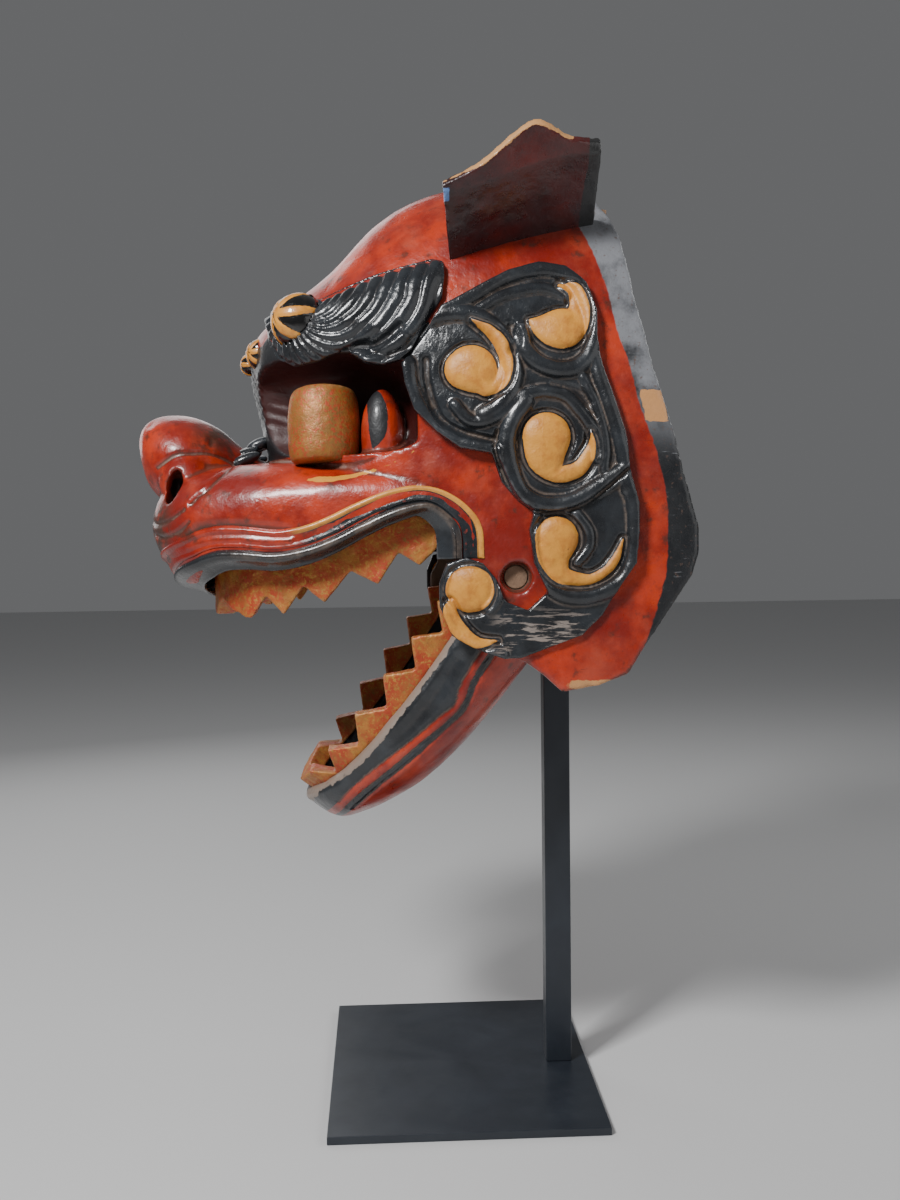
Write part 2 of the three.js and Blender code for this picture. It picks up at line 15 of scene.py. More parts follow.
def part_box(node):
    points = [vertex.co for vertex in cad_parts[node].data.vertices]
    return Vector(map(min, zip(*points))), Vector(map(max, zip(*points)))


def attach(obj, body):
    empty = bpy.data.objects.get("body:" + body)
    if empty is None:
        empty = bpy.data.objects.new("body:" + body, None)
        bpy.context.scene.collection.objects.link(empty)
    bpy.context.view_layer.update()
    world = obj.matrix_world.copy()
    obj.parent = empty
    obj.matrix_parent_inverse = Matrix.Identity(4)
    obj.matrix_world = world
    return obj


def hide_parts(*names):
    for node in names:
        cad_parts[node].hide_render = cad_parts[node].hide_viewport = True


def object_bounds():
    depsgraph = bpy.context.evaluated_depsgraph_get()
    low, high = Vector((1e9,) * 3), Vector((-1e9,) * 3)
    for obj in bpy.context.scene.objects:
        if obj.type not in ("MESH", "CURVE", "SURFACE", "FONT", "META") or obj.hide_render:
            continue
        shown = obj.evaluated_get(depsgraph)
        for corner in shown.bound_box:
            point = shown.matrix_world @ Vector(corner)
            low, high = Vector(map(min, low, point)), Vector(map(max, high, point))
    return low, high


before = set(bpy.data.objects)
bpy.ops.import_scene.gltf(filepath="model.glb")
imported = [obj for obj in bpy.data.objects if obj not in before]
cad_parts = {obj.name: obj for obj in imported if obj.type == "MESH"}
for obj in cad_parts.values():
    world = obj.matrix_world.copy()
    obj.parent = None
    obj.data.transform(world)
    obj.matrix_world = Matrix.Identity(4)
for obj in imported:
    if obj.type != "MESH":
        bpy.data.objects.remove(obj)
cad_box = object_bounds()
MM = 0.001
print("solids in the frame:", len(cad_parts))

# %% [markdown]
# ## The camera
# The camera stands where the photograph was taken: beside the head, a little in front of its middle
# and at the height of the mouth. It comes first, so that every later step can be looked at.

# %% Camera
CAMERA = {"x": 1009.4, "y": -53.3, "z": 428.9, "yaw": 2.83, "pitch": -3.24, "roll": -0.70, "lens": 39.0}


def aim_camera(spec):
    yaw, pitch, roll = (math.radians(spec[key]) for key in ("yaw", "pitch", "roll"))
    forward = Vector((-math.cos(yaw) * math.cos(pitch), math.sin(yaw) * math.cos(pitch), math.sin(pitch)))
    level = Vector((math.sin(yaw), math.cos(yaw), 0))
    rise = level.cross(forward)
    right = math.cos(roll) * level + math.sin(roll) * rise
    up = math.cos(roll) * rise - math.sin(roll) * level
    camera = bpy.data.objects.new("camera", bpy.data.cameras.new("camera"))
    camera.data.lens = spec["lens"]
    camera.data.sensor_width = 36
    camera.data.clip_start = 0.01
    camera.matrix_world = Matrix((
        (right.x, up.x, -forward.x, spec["x"] * MM),
        (right.y, up.y, -forward.y, spec["y"] * MM),
        (right.z, up.z, -forward.z, spec["z"] * MM),
        (0, 0, 0, 1)))
    bpy.context.scene.collection.objects.link(camera)
    bpy.context.scene.camera = camera


aim_camera(CAMERA)
print("camera lens:", CAMERA["lens"], "mm")

# %% [markdown]
# Soft square lamps and a dim grey sky light the head evenly, as a plain studio does. The key lamp is
# the smallest, so that the lacquer keeps a clear highlight.

# %% Light
# Lamps: the name, its place, where it points, its width and its power
LAMPS = (
    ("key", (1.0, -0.8, 1.4), (0, -0.05, 0.5), 0.32, 34),
    ("fill", (1.0, 1.1, 0.7), (0, 0, 0.45), 1.2, 4),
    ("far_side", (-1.2, -0.6, 1.0), (0, 0, 0.45), 1.0, 5),
    ("back", (-0.3, 1.3, 1.2), (0, 0, 0.5), 0.8, 5),
)
for name, place, target, width, power in LAMPS:
    light = bpy.data.lights.new(name, "AREA")
    light.shape = "RECTANGLE"
    light.size = light.size_y = width
    light.energy = power
    lamp = bpy.data.objects.new(name, light)
    lamp.location = place
    lamp.rotation_euler = (Vector(target) - Vector(place)).to_track_quat("-Z", "Y").to_euler()
    bpy.context.scene.collection.objects.link(lamp)

world = bpy.data.worlds.new("studio")
world.use_nodes = True
world.node_tree.nodes["Background"].inputs["Color"].default_value = (0.80, 0.81, 0.83, 1)
world.node_tree.nodes["Background"].inputs["Strength"].default_value = 0.17
bpy.context.scene.world = world
print("lamps:", len(LAMPS))

# %% [markdown]
# ## From tables to smooth skins
# The carver thinks in cross-sections, and so does this script. A table has one row for each station
# from front to back: the half width w at the height mid, the top and the bottom, and how square the
# upper half (crown) and the lower half (foot) of the section are. A curve through the rows gives the
# section anywhere between them. All sizes are millimetres, and MM turns them into Blender's metres.

# %% Tables of cross-sections
def table(columns, *rows, **same):
    """One array for each named column. A value that all rows share is given by its name."""
    named = {name: np.array([row[i] for row in rows], float) for i, name in enumerate(columns.split())}
    return named | {name: np.full(len(rows), float(value)) for name, value in same.items()}


CRANIUM = table(
    "y w mid top bottom crown foot",
    (-153, 14, 553, 562, 534, 2.0, 1.3),
    (-147, 40, 552, 572, 508, 2.2, 1.2),
    (-138, 64, 550, 581, 470, 2.2, 1.3),
    (-115, 92, 546, 600, 430, 2.2, 1.8),
    (-90, 108, 536, 620, 420, 2.2, 2.6),
    (-60, 120, 520, 652, 400, 2.2, 4),
    (-30, 129, 500, 671, 330, 2.3, 6),
    (5, 136, 480, 681, 260, 2.4, 8),
    (50, 141, 455, 686, 240, 2.4, 8),
    (100, 143, 440, 680, 240, 2.4, 8),
    (172, 146, 430, 664, 240, 2.4, 8),
)
MUZZLE = table(
    "y w mid top bottom crown foot",
    (-226, 30, 431, 442, 420, 2.2, 2.0),
    (-219, 58, 431, 456, 405, 2.4, 2.0),
    (-206, 78, 431, 468, 388, 2.6, 2.2),
    (-186, 94, 432, 474, 376, 2.8, 3),
    (-155, 108, 434, 477, 360, 3.0, 4),
    (-115, 119, 438, 478, 340, 3.2, 5),
    (-75, 126, 442, 478, 340, 3.2, 6),
    (-35, 131, 442, 481, 340, 3.2, 6),
    (5, 134, 440, 480, 340, 3.2, 6),
    (45, 136, 436, 470, 340, 3.2, 6),
)
NOSE = table(
    "y w mid top bottom crown foot",
    (-237, 14, 494, 502, 484, 2.0, 2),
    (-232, 34, 489, 510, 464, 2.2, 2),
    (-218, 50, 480, 515, 448, 2.2, 2.2),
    (-198, 56, 474, 514, 436, 2.2, 2.4),
    (-178, 48, 470, 505, 436, 2.2, 2.4),
    (-162, 36, 466, 491, 436, 2.2, 2.4),
    (-145, 24, 460, 480, 436, 2.2, 2.4),
)
print("rows:", len(CRANIUM["y"]), len(MUZZLE["y"]), len(NOSE["y"]))

# %% Curves through the tables
def column(rows, key, y):
    """The value of a column at the stations y, on a smooth curve through the rows."""
    at, value = rows["y"], rows[key]
    ahead = np.minimum(np.arange(len(at)) + 1, len(at) - 1)
    behind = np.maximum(np.arange(len(at)) - 1, 0)
    slope = (value[ahead] - value[behind]) / (at[ahead] - at[behind])
    i = np.clip(np.searchsorted(at, y, side="right") - 1, 0, len(at) - 2)
    step = at[i + 1] - at[i]
    t = np.clip((y - at[i]) / step, 0, 1)
    blend = t * t * (3 - 2 * t)
    bend = t * (1 - t) * step * ((1 - t) * slope[i] - t * slope[i + 1])
    return value[i] * (1 - blend) + value[i + 1] * blend + bend


def reach(rows, y, z):
    """How far out from the middle plane the skin lies at y, z, or 0 past its ends."""
    mid = column(rows, "mid", y)
    upper = z > mid
    half = np.where(upper, column(rows, "top", y) - mid, mid - column(rows, "bottom", y))
    power = np.where(upper, column(rows, "crown", y), column(rows, "foot", y))
    level = np.clip(np.abs(z - mid) / half, 0, 1)
    out = column(rows, "w", y) * (1 - level ** power) ** (1 / power)
    return np.where((y >= rows["y"][0]) & (y <= rows["y"][-1]), out, 0)


def clamp(value, low=0.0, high=1.0):
    return np.minimum(np.maximum(value, low), high)


def ease(value, low, high):
    """0 below low, 1 above high and a smooth step between them."""
    t = clamp((value - low) / (high - low))
    return t * t * (3 - 2 * t)


HINGE_Y, HINGE_Z = 35, 394
print("cheek half width at the hinge:",
      round(float(reach(CRANIUM, np.array([HINGE_Y]), np.array([HINGE_Z]))[0]), 1))

# %% [markdown]
# ## Meshes whose points move all at once
# Every carved piece starts as a plain mesh from a bmesh operator. Its points are then read as one
# array, moved by a formula and written back. It works as a sculptor's brush does, only for all the
# points in one stroke.

# %% Mesh helpers
def object_from(name, bm):
    mesh = bpy.data.meshes.new(name)
    bm.to_mesh(mesh)
    bm.free()
    piece = bpy.data.objects.new(name, mesh)
    bpy.context.scene.collection.objects.link(piece)
    return piece


def read_points(piece):
    points = np.empty(len(piece.data.vertices) * 3)
    piece.data.vertices.foreach_get("co", points)
    return points.reshape(-1, 3) / MM


def read_normals(piece):
    normals = np.empty(len(piece.data.vertices) * 3)
    piece.data.vertex_normals.foreach_get("vector", normals)
    return normals.reshape(-1, 3)


def write_points(piece, points):
    piece.data.vertices.foreach_set("co", (points * MM).ravel())
    piece.data.update()


def paint(piece, name, values):
    """A value for each point, or one for all, which the materials read by its name."""
    layer = piece.data.attributes.get(name) or piece.data.attributes.new(name, "FLOAT", "POINT")
    values = np.broadcast_to(np.asarray(values, np.float32), len(piece.data.vertices))
    layer.data.foreach_set("value", np.ascontiguousarray(values))


def report(piece):
    piece.data.calc_loop_triangles()
    print(piece.name, "triangles:", len(piece.data.loop_triangles))

# %% [markdown]
# The editor would stack modifiers on a piece. Here each is turned into mesh at once, because the next
# step moves the points that it made.

# %% Modifiers as steps
def settle(piece):
    """Turns the piece's modifiers into its mesh."""
    depsgraph = bpy.context.evaluated_depsgraph_get()
    made = bpy.data.meshes.new_from_object(piece.evaluated_get(depsgraph))
    piece.modifiers.clear()
    spent = piece.data
    piece.data = made
    bpy.data.meshes.remove(spent)


def combine(piece, tool, operation):
    modifier = piece.modifiers.new(operation, "BOOLEAN")
    modifier.operation = operation
    modifier.solver = "MANIFOLD"
    modifier.object = tool
    settle(piece)
    bpy.data.objects.remove(tool)
    return piece


def smooth(piece, passes):
    modifier = piece.modifiers.new("smooth", "SMOOTH")
    modifier.iterations = passes
    settle(piece)


def even_out(piece, size, passes):
    """One skin of even small faces, and then so many passes of smoothing."""
    modifier = piece.modifiers.new("even", "REMESH")
    modifier.mode = "VOXEL"
    modifier.voxel_size = size * MM
    settle(piece)
    smooth(piece, passes)
    piece.data.shade_smooth()


MOST_TRIANGLES = 190000


def thin_out(piece, most=MOST_TRIANGLES):
    """Fewer triangles where the surface is plain, so that no piece holds more than the most."""
    piece.data.calc_loop_triangles()
    modifier = piece.modifiers.new("thin", "DECIMATE")
    modifier.ratio = min(1.0, most / len(piece.data.loop_triangles))
    settle(piece)
    piece.data.shade_smooth()

# %% [markdown]
# Old wood is never quite even, and dirt gathers where it is hollow. The next two helpers measure both:
# one gives soft waves for any point, the other tells how deep a point lies in a groove.

# %% Unevenness and hollows
OCTAVES = 2


def wobble(points, size, seed):
    """Soft unevenness between about -1 and 1, with waves of the given size."""
    shift = Vector((seed * 13.1, seed * 7.7, seed * 3.3))
    return np.array([noise.fractal(Vector(p) / size + shift, 1.0, 2.0, OCTAVES) for p in points])


def sag(piece, passes):
    """How far each point lies below the smoothed surface round it: more than 0 in a hollow."""
    ends = np.empty(len(piece.data.edges) * 2, np.int64)
    piece.data.edges.foreach_get("vertices", ends)
    a, b = ends.reshape(-1, 2).T
    points = read_points(piece)
    count = np.bincount(a, minlength=len(points)) + np.bincount(b, minlength=len(points))
    soft = points.copy()
    for _ in range(passes):
        for axis in range(3):
            around = (np.bincount(a, soft[b, axis], len(points))
                      + np.bincount(b, soft[a, axis], len(points))) / np.maximum(count, 1)
            soft[:, axis] = 0.4 * soft[:, axis] + 0.6 * around
    return ((soft - points) * read_normals(piece)).sum(1)

# %% [markdown]
# ## Basic solids
# A skin is a cylinder cut into many rings, each ring moved onto its cross-section. An egg is a
# sphere stretched three ways, and a slab is a side outline pushed straight across the head.

# %% Skins
def skin(name, rows, sides=112, step=3.0, grow=0.0, shift=0.0):
    front, back = rows["y"][0], rows["y"][-1]
    bm = bmesh.new()
    bmesh.ops.create_cone(bm, segments=sides, radius1=1, radius2=1, depth=1, cap_ends=True)
    lengthways = [edge for edge in bm.edges if abs(edge.verts[0].co.z - edge.verts[1].co.z) > 0.5]
    bmesh.ops.subdivide_edges(bm, edges=lengthways, cuts=round((back - front) / step), use_grid_fill=True)
    piece = object_from(name, bm)
    points = read_points(piece) * MM
    y = front + (back - front) * (points[:, 2] + 0.5)
    angle = np.arctan2(points[:, 1], points[:, 0])
    side, up = np.cos(angle), np.sin(angle)
    mid = column(rows, "mid", y)
    half = grow + np.where(up > 0, column(rows, "top", y) - mid, mid - column(rows, "bottom", y))
    half = np.maximum(half, 0.5)
    power = 2 / np.where(up > 0, column(rows, "crown", y), column(rows, "foot", y))
    x = np.maximum(column(rows, "w", y) + grow, 0.5) * np.sign(side) * np.abs(side) ** power
    if "x" in rows:
        x = x + column(rows, "x", y)
    z = mid + half * np.sign(up) * np.abs(up) ** power
    write_points(piece, np.stack([x, y + shift, z], 1))
    turn_out(piece)
    return piece


def turn_out(piece):
    """Merges doubled points and turns every face of a closed mesh outwards."""
    bm = bmesh.new()
    bm.from_mesh(piece.data)
    bmesh.ops.remove_doubles(bm, verts=bm.verts, dist=1e-6)
    bmesh.ops.recalc_face_normals(bm, faces=bm.faces)
    bm.to_mesh(piece.data)
    bm.free()

# %% Eggs, rods and blocks
ROUND = 48


def ease_edges(bm, edges, bevel):
    bmesh.ops.bevel(bm, geom=edges, offset=bevel * MM, segments=3, profile=0.5, affect="EDGES", material=-1)


def egg(name, centre, radii, tilt=0.0, segments=ROUND):
    bm = bmesh.new()
    bmesh.ops.create_uvsphere(bm, u_segments=segments, v_segments=segments // 2, radius=MM)
    bmesh.ops.scale(bm, vec=radii, verts=bm.verts)
    bmesh.ops.rotate(bm, matrix=Matrix.Rotation(math.radians(tilt), 3, "X"), verts=bm.verts)
    bmesh.ops.translate(bm, vec=Vector(centre) * MM, verts=bm.verts)
    return object_from(name, bm)


def rod(name, radius, ends, y, z, bevel=0.0):
    bm = bmesh.new()
    bmesh.ops.create_cone(bm, segments=ROUND, radius1=radius * MM, radius2=radius * MM,
                          depth=(ends[1] - ends[0]) * MM, cap_ends=True)
    if bevel:
        rims = [edge for edge in bm.edges if abs(edge.verts[0].co.z - edge.verts[1].co.z) < 1e-6]
        ease_edges(bm, rims, bevel)
    bmesh.ops.rotate(bm, matrix=Matrix.Rotation(math.radians(90), 3, "Y"), verts=bm.verts)
    bmesh.ops.translate(bm, vec=Vector(((ends[0] + ends[1]) / 2, y, z)) * MM, verts=bm.verts)
    return object_from(name, bm)


def block(name, low, high, bevel=0.0):
    low, high = Vector(low) * MM, Vector(high) * MM
    bm = bmesh.new()
    bmesh.ops.create_cube(bm, size=1)
    bmesh.ops.scale(bm, vec=high - low, verts=bm.verts)
    if bevel:
        ease_edges(bm, bm.edges[:], bevel)
    bmesh.ops.translate(bm, vec=(low + high) / 2, verts=bm.verts)
    return object_from(name, bm)

# %% Slabs and mirrored copies
SLAB_HALF_WIDTH = 200


def slab(name, outline):
    """A side outline of y, z corners, pushed across the head."""
    bm = bmesh.new()
    corners = [bm.verts.new((-SLAB_HALF_WIDTH * MM, y * MM, z * MM)) for y, z in outline]
    face = bm.faces.new(corners)
    pushed = bmesh.ops.extrude_face_region(bm, geom=[face])
    moved = [part for part in pushed["geom"] if isinstance(part, bmesh.types.BMVert)]
    bmesh.ops.translate(bm, vec=(2 * SLAB_HALF_WIDTH * MM, 0, 0), verts=moved)
    bmesh.ops.recalc_face_normals(bm, faces=bm.faces)
    return object_from(name, bm)


def mirrored(name, piece):
    """A copy on the other side of the head."""
    bm = bmesh.new()
    bm.from_mesh(piece.data)
    bmesh.ops.scale(bm, vec=(-1, 1, 1), verts=bm.verts)
    bmesh.ops.reverse_faces(bm, faces=bm.faces)
    return object_from(name, bm)

# %% [markdown]
# ## Strokes
# A carver draws a line on the wood first and then cuts along it. A stroke here is a curve through a
# few points of y and z on the side of the head. For each point of a mesh, the stroke tells how far
# away it is and how far along. Ridges, grooves and painted lines use that.

# %% Strokes
FAR = 60.0
NEAR_ENOUGH = 20.0


def curve_through(points, step=0.4):
    """A smooth curve through the points, as many small steps."""
    points = np.array(points, float)
    ends = np.vstack([2 * points[0] - points[1], points, 2 * points[-1] - points[-2]])
    pieces = []
    for a, b, c, d in zip(ends, ends[1:], ends[2:], ends[3:]):
        count = max(2, int(np.linalg.norm(c[:2] - b[:2]) / step))
        t = np.linspace(0, 1, count, endpoint=False)[:, None]
        pieces.append(0.5 * (2 * b + (c - a) * t + (2 * a - 5 * b + 4 * c - d) * t ** 2
                             + (3 * b - a - 3 * c + d) * t ** 3))
    return np.vstack(pieces + [points[-1:]])


def near_curve(curve, y, z):
    """The points near a curve, in parts, each with its distances to every step of the curve."""
    low, high = curve[:, :2].min(0) - NEAR_ENOUGH, curve[:, :2].max(0) + NEAR_ENOUGH
    near = np.flatnonzero((y > low[0]) & (y < high[0]) & (z > low[1]) & (z < high[1]))
    for part in np.array_split(near, len(near) // 5000 + 1):
        if len(part):
            yield part, np.hypot(y[part, None] - curve[:, 0], z[part, None] - curve[:, 1])


def distance_to(points, y, z):
    curve = curve_through(points)
    distance = np.full(len(y), FAR)
    for part, gap in near_curve(curve, y, z):
        distance[part] = gap.min(1)
    return distance


def inside_of(points, y, z):
    """How deep a point lies inside a stroke of y, z and half width, and the half width there."""
    curve = curve_through(points)
    depth, half = np.full(len(y), -FAR), np.ones(len(y))
    for part, gap in near_curve(curve, y, z):
        best = (curve[:, 2] - gap).argmax(1)
        depth[part] = curve[best, 2] - gap[np.arange(len(part)), best]
        half[part] = np.maximum(curve[best, 2], 0.3)
    return depth, half


def bump(distance, half):
    """A round ridge: 1 on the line and 0 from half its width on."""
    return np.cos(clamp(distance / half) * math.pi / 2) ** 2


def beyond(line, y, z):
    """Signed distance to an open line, more than 0 to the right of its direction."""
    curve = curve_through(line, 1.5)
    ahead = np.gradient(curve[:, :2], axis=0)
    signed = np.empty(len(y))
    for part in np.array_split(np.arange(len(y)), len(y) // 20000 + 1):
        dy, dz = y[part, None] - curve[:, 0], z[part, None] - curve[:, 1]
        nearest = np.hypot(dy, dz).argmin(1)
        pick = np.arange(len(part)), nearest
        cross = ahead[nearest, 0] * dz[pick] - ahead[nearest, 1] * dy[pick]
        signed[part] = -np.sign(cross) * np.hypot(dy[pick], dz[pick])
    return signed

# %% [markdown]
# ## Wiring finishes
# A finish is a node tree. These helpers add a node, set its sockets and join it to others, so that
# a material reads as a list of layers. An effect that several finishes share is a node group.

# %% Node helpers
def connect(tree, socket, value):
    if isinstance(value, bpy.types.NodeSocket):
        tree.links.new(value, socket)
    else:
        socket.default_value = value


def add_node(tree, kind, inputs=None, **settings):
    made = tree.nodes.new(kind)
    for key, value in settings.items():
        setattr(made, key, value)
    for key, value in (inputs or {}).items():
        connect(tree, made.inputs[key], value)
    return made


def maths(tree, operation, a, b):
    return add_node(tree, "ShaderNodeMath", {0: a, 1: b}, operation=operation).outputs[0]


def times(tree, a, b):
    return maths(tree, "MULTIPLY", a, b)


def plus(tree, a, b):
    return maths(tree, "ADD", a, b)


def minus(tree, a, b):
    return maths(tree, "SUBTRACT", a, b)


def mix(tree, mask, a, b, share=1.0):
    """Colour a, with so great a share of colour b where the mask is 1."""
    if share < 1:
        mask = times(tree, mask, share)
    made = add_node(tree, "ShaderNodeMix", {0: mask}, data_type="RGBA")
    for index, value in ((6, a), (7, b)):
        connect(tree, made.inputs[index], (*value, 1) if isinstance(value, tuple) else value)
    return made.outputs[2]


def ramp(tree, value, low, high, start=0.0, end=1.0):
    """The value's way from low to high, as a smooth way from start to end."""
    made = add_node(tree, "ShaderNodeMapRange", interpolation_type="SMOOTHSTEP")
    for key, entry in zip(("Value", "From Min", "From Max", "To Min", "To Max"),
                          (value, low, high, start, end)):
        connect(tree, made.inputs[key], entry)
    return made.outputs["Result"]

# %% Groups of nodes
def new_group(name, **inputs):
    """A group with named inputs, of which a None is a place, and one mask as its output."""
    tree = bpy.data.node_groups.new(name, "ShaderNodeTree")
    for label, value in inputs.items():
        kind = "NodeSocketVector" if value is None else "NodeSocketFloat"
        socket = tree.interface.new_socket(name=label, in_out="INPUT", socket_type=kind)
        if value is not None:
            socket.default_value = value
    tree.interface.new_socket(name="Mask", in_out="OUTPUT", socket_type="NodeSocketFloat")
    return tree, tree.nodes.new("NodeGroupInput").outputs, tree.nodes.new("NodeGroupOutput").inputs


def use_group(tree, group, **inputs):
    made = add_node(tree, "ShaderNodeGroup", node_tree=group)
    for key, value in inputs.items():
        connect(tree, made.inputs[key], value)
    return made

# %% [markdown]
# Three effects are shared. Blotches are soft spots of wear. A painted edge turns a distance in
# millimetres into a coat of paint with an uneven edge, since a brush line on old wood is never
# straight. Dust gathers in hollows, and it breaks up into grains.

# %% Shared effects
def noise_of(tree, place, scale, detail, roughness=0.5):
    return add_node(tree, "ShaderNodeTexNoise", {"Vector": place, "Scale": scale, "Detail": detail,
                                                 "Roughness": roughness}).outputs["Fac"]


def build_blotches():
    tree, given, result = new_group("blotches", Place=None, Size=0.02, Amount=0.5, Softness=0.1)
    clouds = noise_of(tree, given["Place"], maths(tree, "DIVIDE", 1.0, given["Size"]), 7.0, 0.62)
    level = minus(tree, 0.82, times(tree, given["Amount"], 0.62))
    mask = ramp(tree, clouds, minus(tree, level, given["Softness"]), plus(tree, level, given["Softness"]))
    tree.links.new(mask, result["Mask"])
    return tree


def build_painted_edge():
    tree, given, result = new_group("painted_edge", Place=None, Distance=0.0, Unevenness=1.0, Size=0.008,
                                    Softness=0.25)
    clouds = noise_of(tree, given["Place"], maths(tree, "DIVIDE", 1.0, given["Size"]), 5.0, 0.6)
    shift = times(tree, minus(tree, clouds, 0.5), given["Unevenness"])
    edge = plus(tree, given["Distance"], times(tree, shift, 2.0))
    mask = ramp(tree, edge, times(tree, given["Softness"], -1.0), given["Softness"])
    tree.links.new(mask, result["Mask"])
    return tree


def build_dust():
    tree, given, result = new_group("dust", Place=None, Hollow=0.0, Start=0.05, Full=0.4)
    grains = noise_of(tree, given["Place"], 420.0, 4.0, 0.7)
    clouds = noise_of(tree, given["Place"], 60.0, 4.0)
    depth = ramp(tree, given["Hollow"], given["Start"], given["Full"])
    broken = ramp(tree, plus(tree, grains, clouds), 0.78, 1.08)
    tree.links.new(times(tree, depth, broken), result["Mask"])
    return tree


BLOTCHES, PAINTED_EDGE, DUST = build_blotches(), build_painted_edge(), build_dust()
print("shared effects:", [group.name for group in (BLOTCHES, PAINTED_EDGE, DUST)])

# %% A finish from its layers
def attribute(tree, name):
    return add_node(tree, "ShaderNodeAttribute", attribute_name=name).outputs["Fac"]


def begin_finish(name):
    """A bare material, its tree and the place of a point on the object."""
    material = bpy.data.materials.new(name)
    material.use_nodes = True
    tree = material.node_tree
    place = add_node(tree, "ShaderNodeTexCoord").outputs["Object"]
    return material, tree, place


def spots(tree, place, size, amount, softness):
    return use_group(tree, BLOTCHES, Place=place, Size=size * MM, Amount=amount,
                     Softness=softness).outputs["Mask"]


def painted(tree, place, distance, unevenness, size, softness=0.25):
    return use_group(tree, PAINTED_EDGE, Place=place, Distance=distance, Unevenness=unevenness,
                     Size=size * MM, Softness=softness).outputs["Mask"]


def dusty(tree, place, start, full):
    return use_group(tree, DUST, Place=place, Hollow=attribute(tree, "hollow"), Start=start,
                     Full=full).outputs["Mask"]


def cloud(tree, place, size, detail=4.0):
    return noise_of(tree, place, 1 / (size * MM), detail, 0.6)


def uneven(tree, place, wide, fine, share):
    """Relief from wide waves and a share of fine ones, both with their size in millimetres."""
    return plus(tree, cloud(tree, place, wide, 3.0), times(tree, cloud(tree, place, fine), share))


def spotted(tree, place, colour, *layers):
    """Spots on a colour. A layer is their size, amount, softness, share and tone."""
    for size, amount, softness, share, tone in layers:
        colour = mix(tree, spots(tree, place, size, amount, softness), colour, tone, share)
    return colour


def end_finish(material, tree, colour, roughness, height, depth, coat=0.0, coat_roughness=0.1, metallic=0.0):
    """Sets the layers on the shader. The height is bumped by the depth, in millimetres."""
    shader = tree.nodes["Principled BSDF"]
    for label, value in (("Base Color", colour), ("Roughness", roughness), ("Metallic", metallic),
                         ("Coat Weight", coat), ("Coat Roughness", coat_roughness)):
        connect(tree, shader.inputs[label], value)
    relief = add_node(tree, "ShaderNodeBump", {"Height": height, "Distance": depth * MM, "Strength": 1.0})
    tree.links.new(relief.outputs["Normal"], shader.inputs["Normal"])
    print("finish:", material.name)
    return material

# %% [markdown]
# ## Red lacquer
# The head and the jaw are coated in orange-red lacquer over a black ground. It has darkened in
# clouds, the ground shows through in specks and on worn edges, and grey dust sits in the creases.
# The back rim is black and scuffed to grey, and the hollow inside is bare, dark wood.

# %% Red lacquer
ORANGE_RED = (0.46, 0.034, 0.007)
DEEP_RED = (0.20, 0.010, 0.005)
FADED_RED = (0.42, 0.075, 0.038)
GROUND_BROWN = (0.060, 0.022, 0.014)
DUST_GREY = (0.19, 0.135, 0.105)
LACQUER_BLACK = (0.012, 0.013, 0.015)
SCUFFED_GREY = (0.20, 0.205, 0.22)
GILT = (0.64, 0.275, 0.036)
GILT_SHADE = (0.50, 0.185, 0.022)
OLD_GILT = (0.33, 0.13, 0.03)
CHIPPED_WOOD = (0.52, 0.255, 0.10)
RIM_BROWN = (0.10, 0.060, 0.045)
# A darker brown for patches on the muzzle and the nose
DARKER_BROWN = (0.060, 0.026, 0.017)
# Painted shade for the inside of the eye sockets
SOCKET_SHADE = (0.035, 0.006, 0.005)
INSIDE_WOOD = (0.060, 0.034, 0.020), (0.125, 0.072, 0.042)


def streaks(tree, place, size, amount):
    """Fine scratches that slope up towards the back."""
    sloping = add_node(tree, "ShaderNodeMapping", {"Vector": place, "Rotation": (math.radians(-22), 0, 0),
                                                   "Scale": (1.0, 0.10, 1.0)}).outputs["Vector"]
    return spots(tree, sloping, size, amount, 0.03)


def red_layers(tree, place):
    """The worn red coat, with its roughness and relief."""
    colour = spotted(tree, place, ORANGE_RED, (48, 0.56, 0.13, 1, DEEP_RED), (34, 0.34, 0.14, 0.5, FADED_RED),
                     (13, 0.31, 0.07, 0.75, GROUND_BROWN), (1.8, 0.22, 0.02, 0.8, GROUND_BROWN))
    scratches = times(tree, streaks(tree, place, 1.7, 0.22), ramp(tree, cloud(tree, place, 30), 0.4, 0.6))
    colour = mix(tree, scratches, colour, GROUND_BROWN, 0.7)
    hollow = attribute(tree, "hollow")
    edge = times(tree, ramp(tree, hollow, -0.30, -0.85), spots(tree, place, 5, 0.55, 0.1))
    colour = mix(tree, edge, colour, GROUND_BROWN)
    # Every hollow is darkened towards the same brown
    colour = mix(tree, ramp(tree, hollow, 0.02, 0.30), colour, GROUND_BROWN, 0.75)
    dust = dusty(tree, place, 0.22, 1.3)
    colour = mix(tree, dust, colour, DUST_GREY)
    rough = ramp(tree, cloud(tree, place, 16), 0.3, 0.75, 0.26, 0.46)
    rough = plus(tree, rough, times(tree, dust, 0.3))
    return colour, rough, uneven(tree, place, 11, 1.6, 0.16)

# %% The head's whole coat
def black_rim(tree, place):
    """The black of the back rim, scuffed to grey."""
    scuffs = times(tree, spots(tree, place, 30, 0.62, 0.16), attribute(tree, "scuffed"))
    colour = mix(tree, scuffs, LACQUER_BLACK, SCUFFED_GREY)
    colour = spotted(tree, place, colour, (3.2, 0.30, 0.04, 0.7, RIM_BROWN))
    return mix(tree, streaks(tree, place, 1.3, 0.24), colour, SCUFFED_GREY, 0.6)


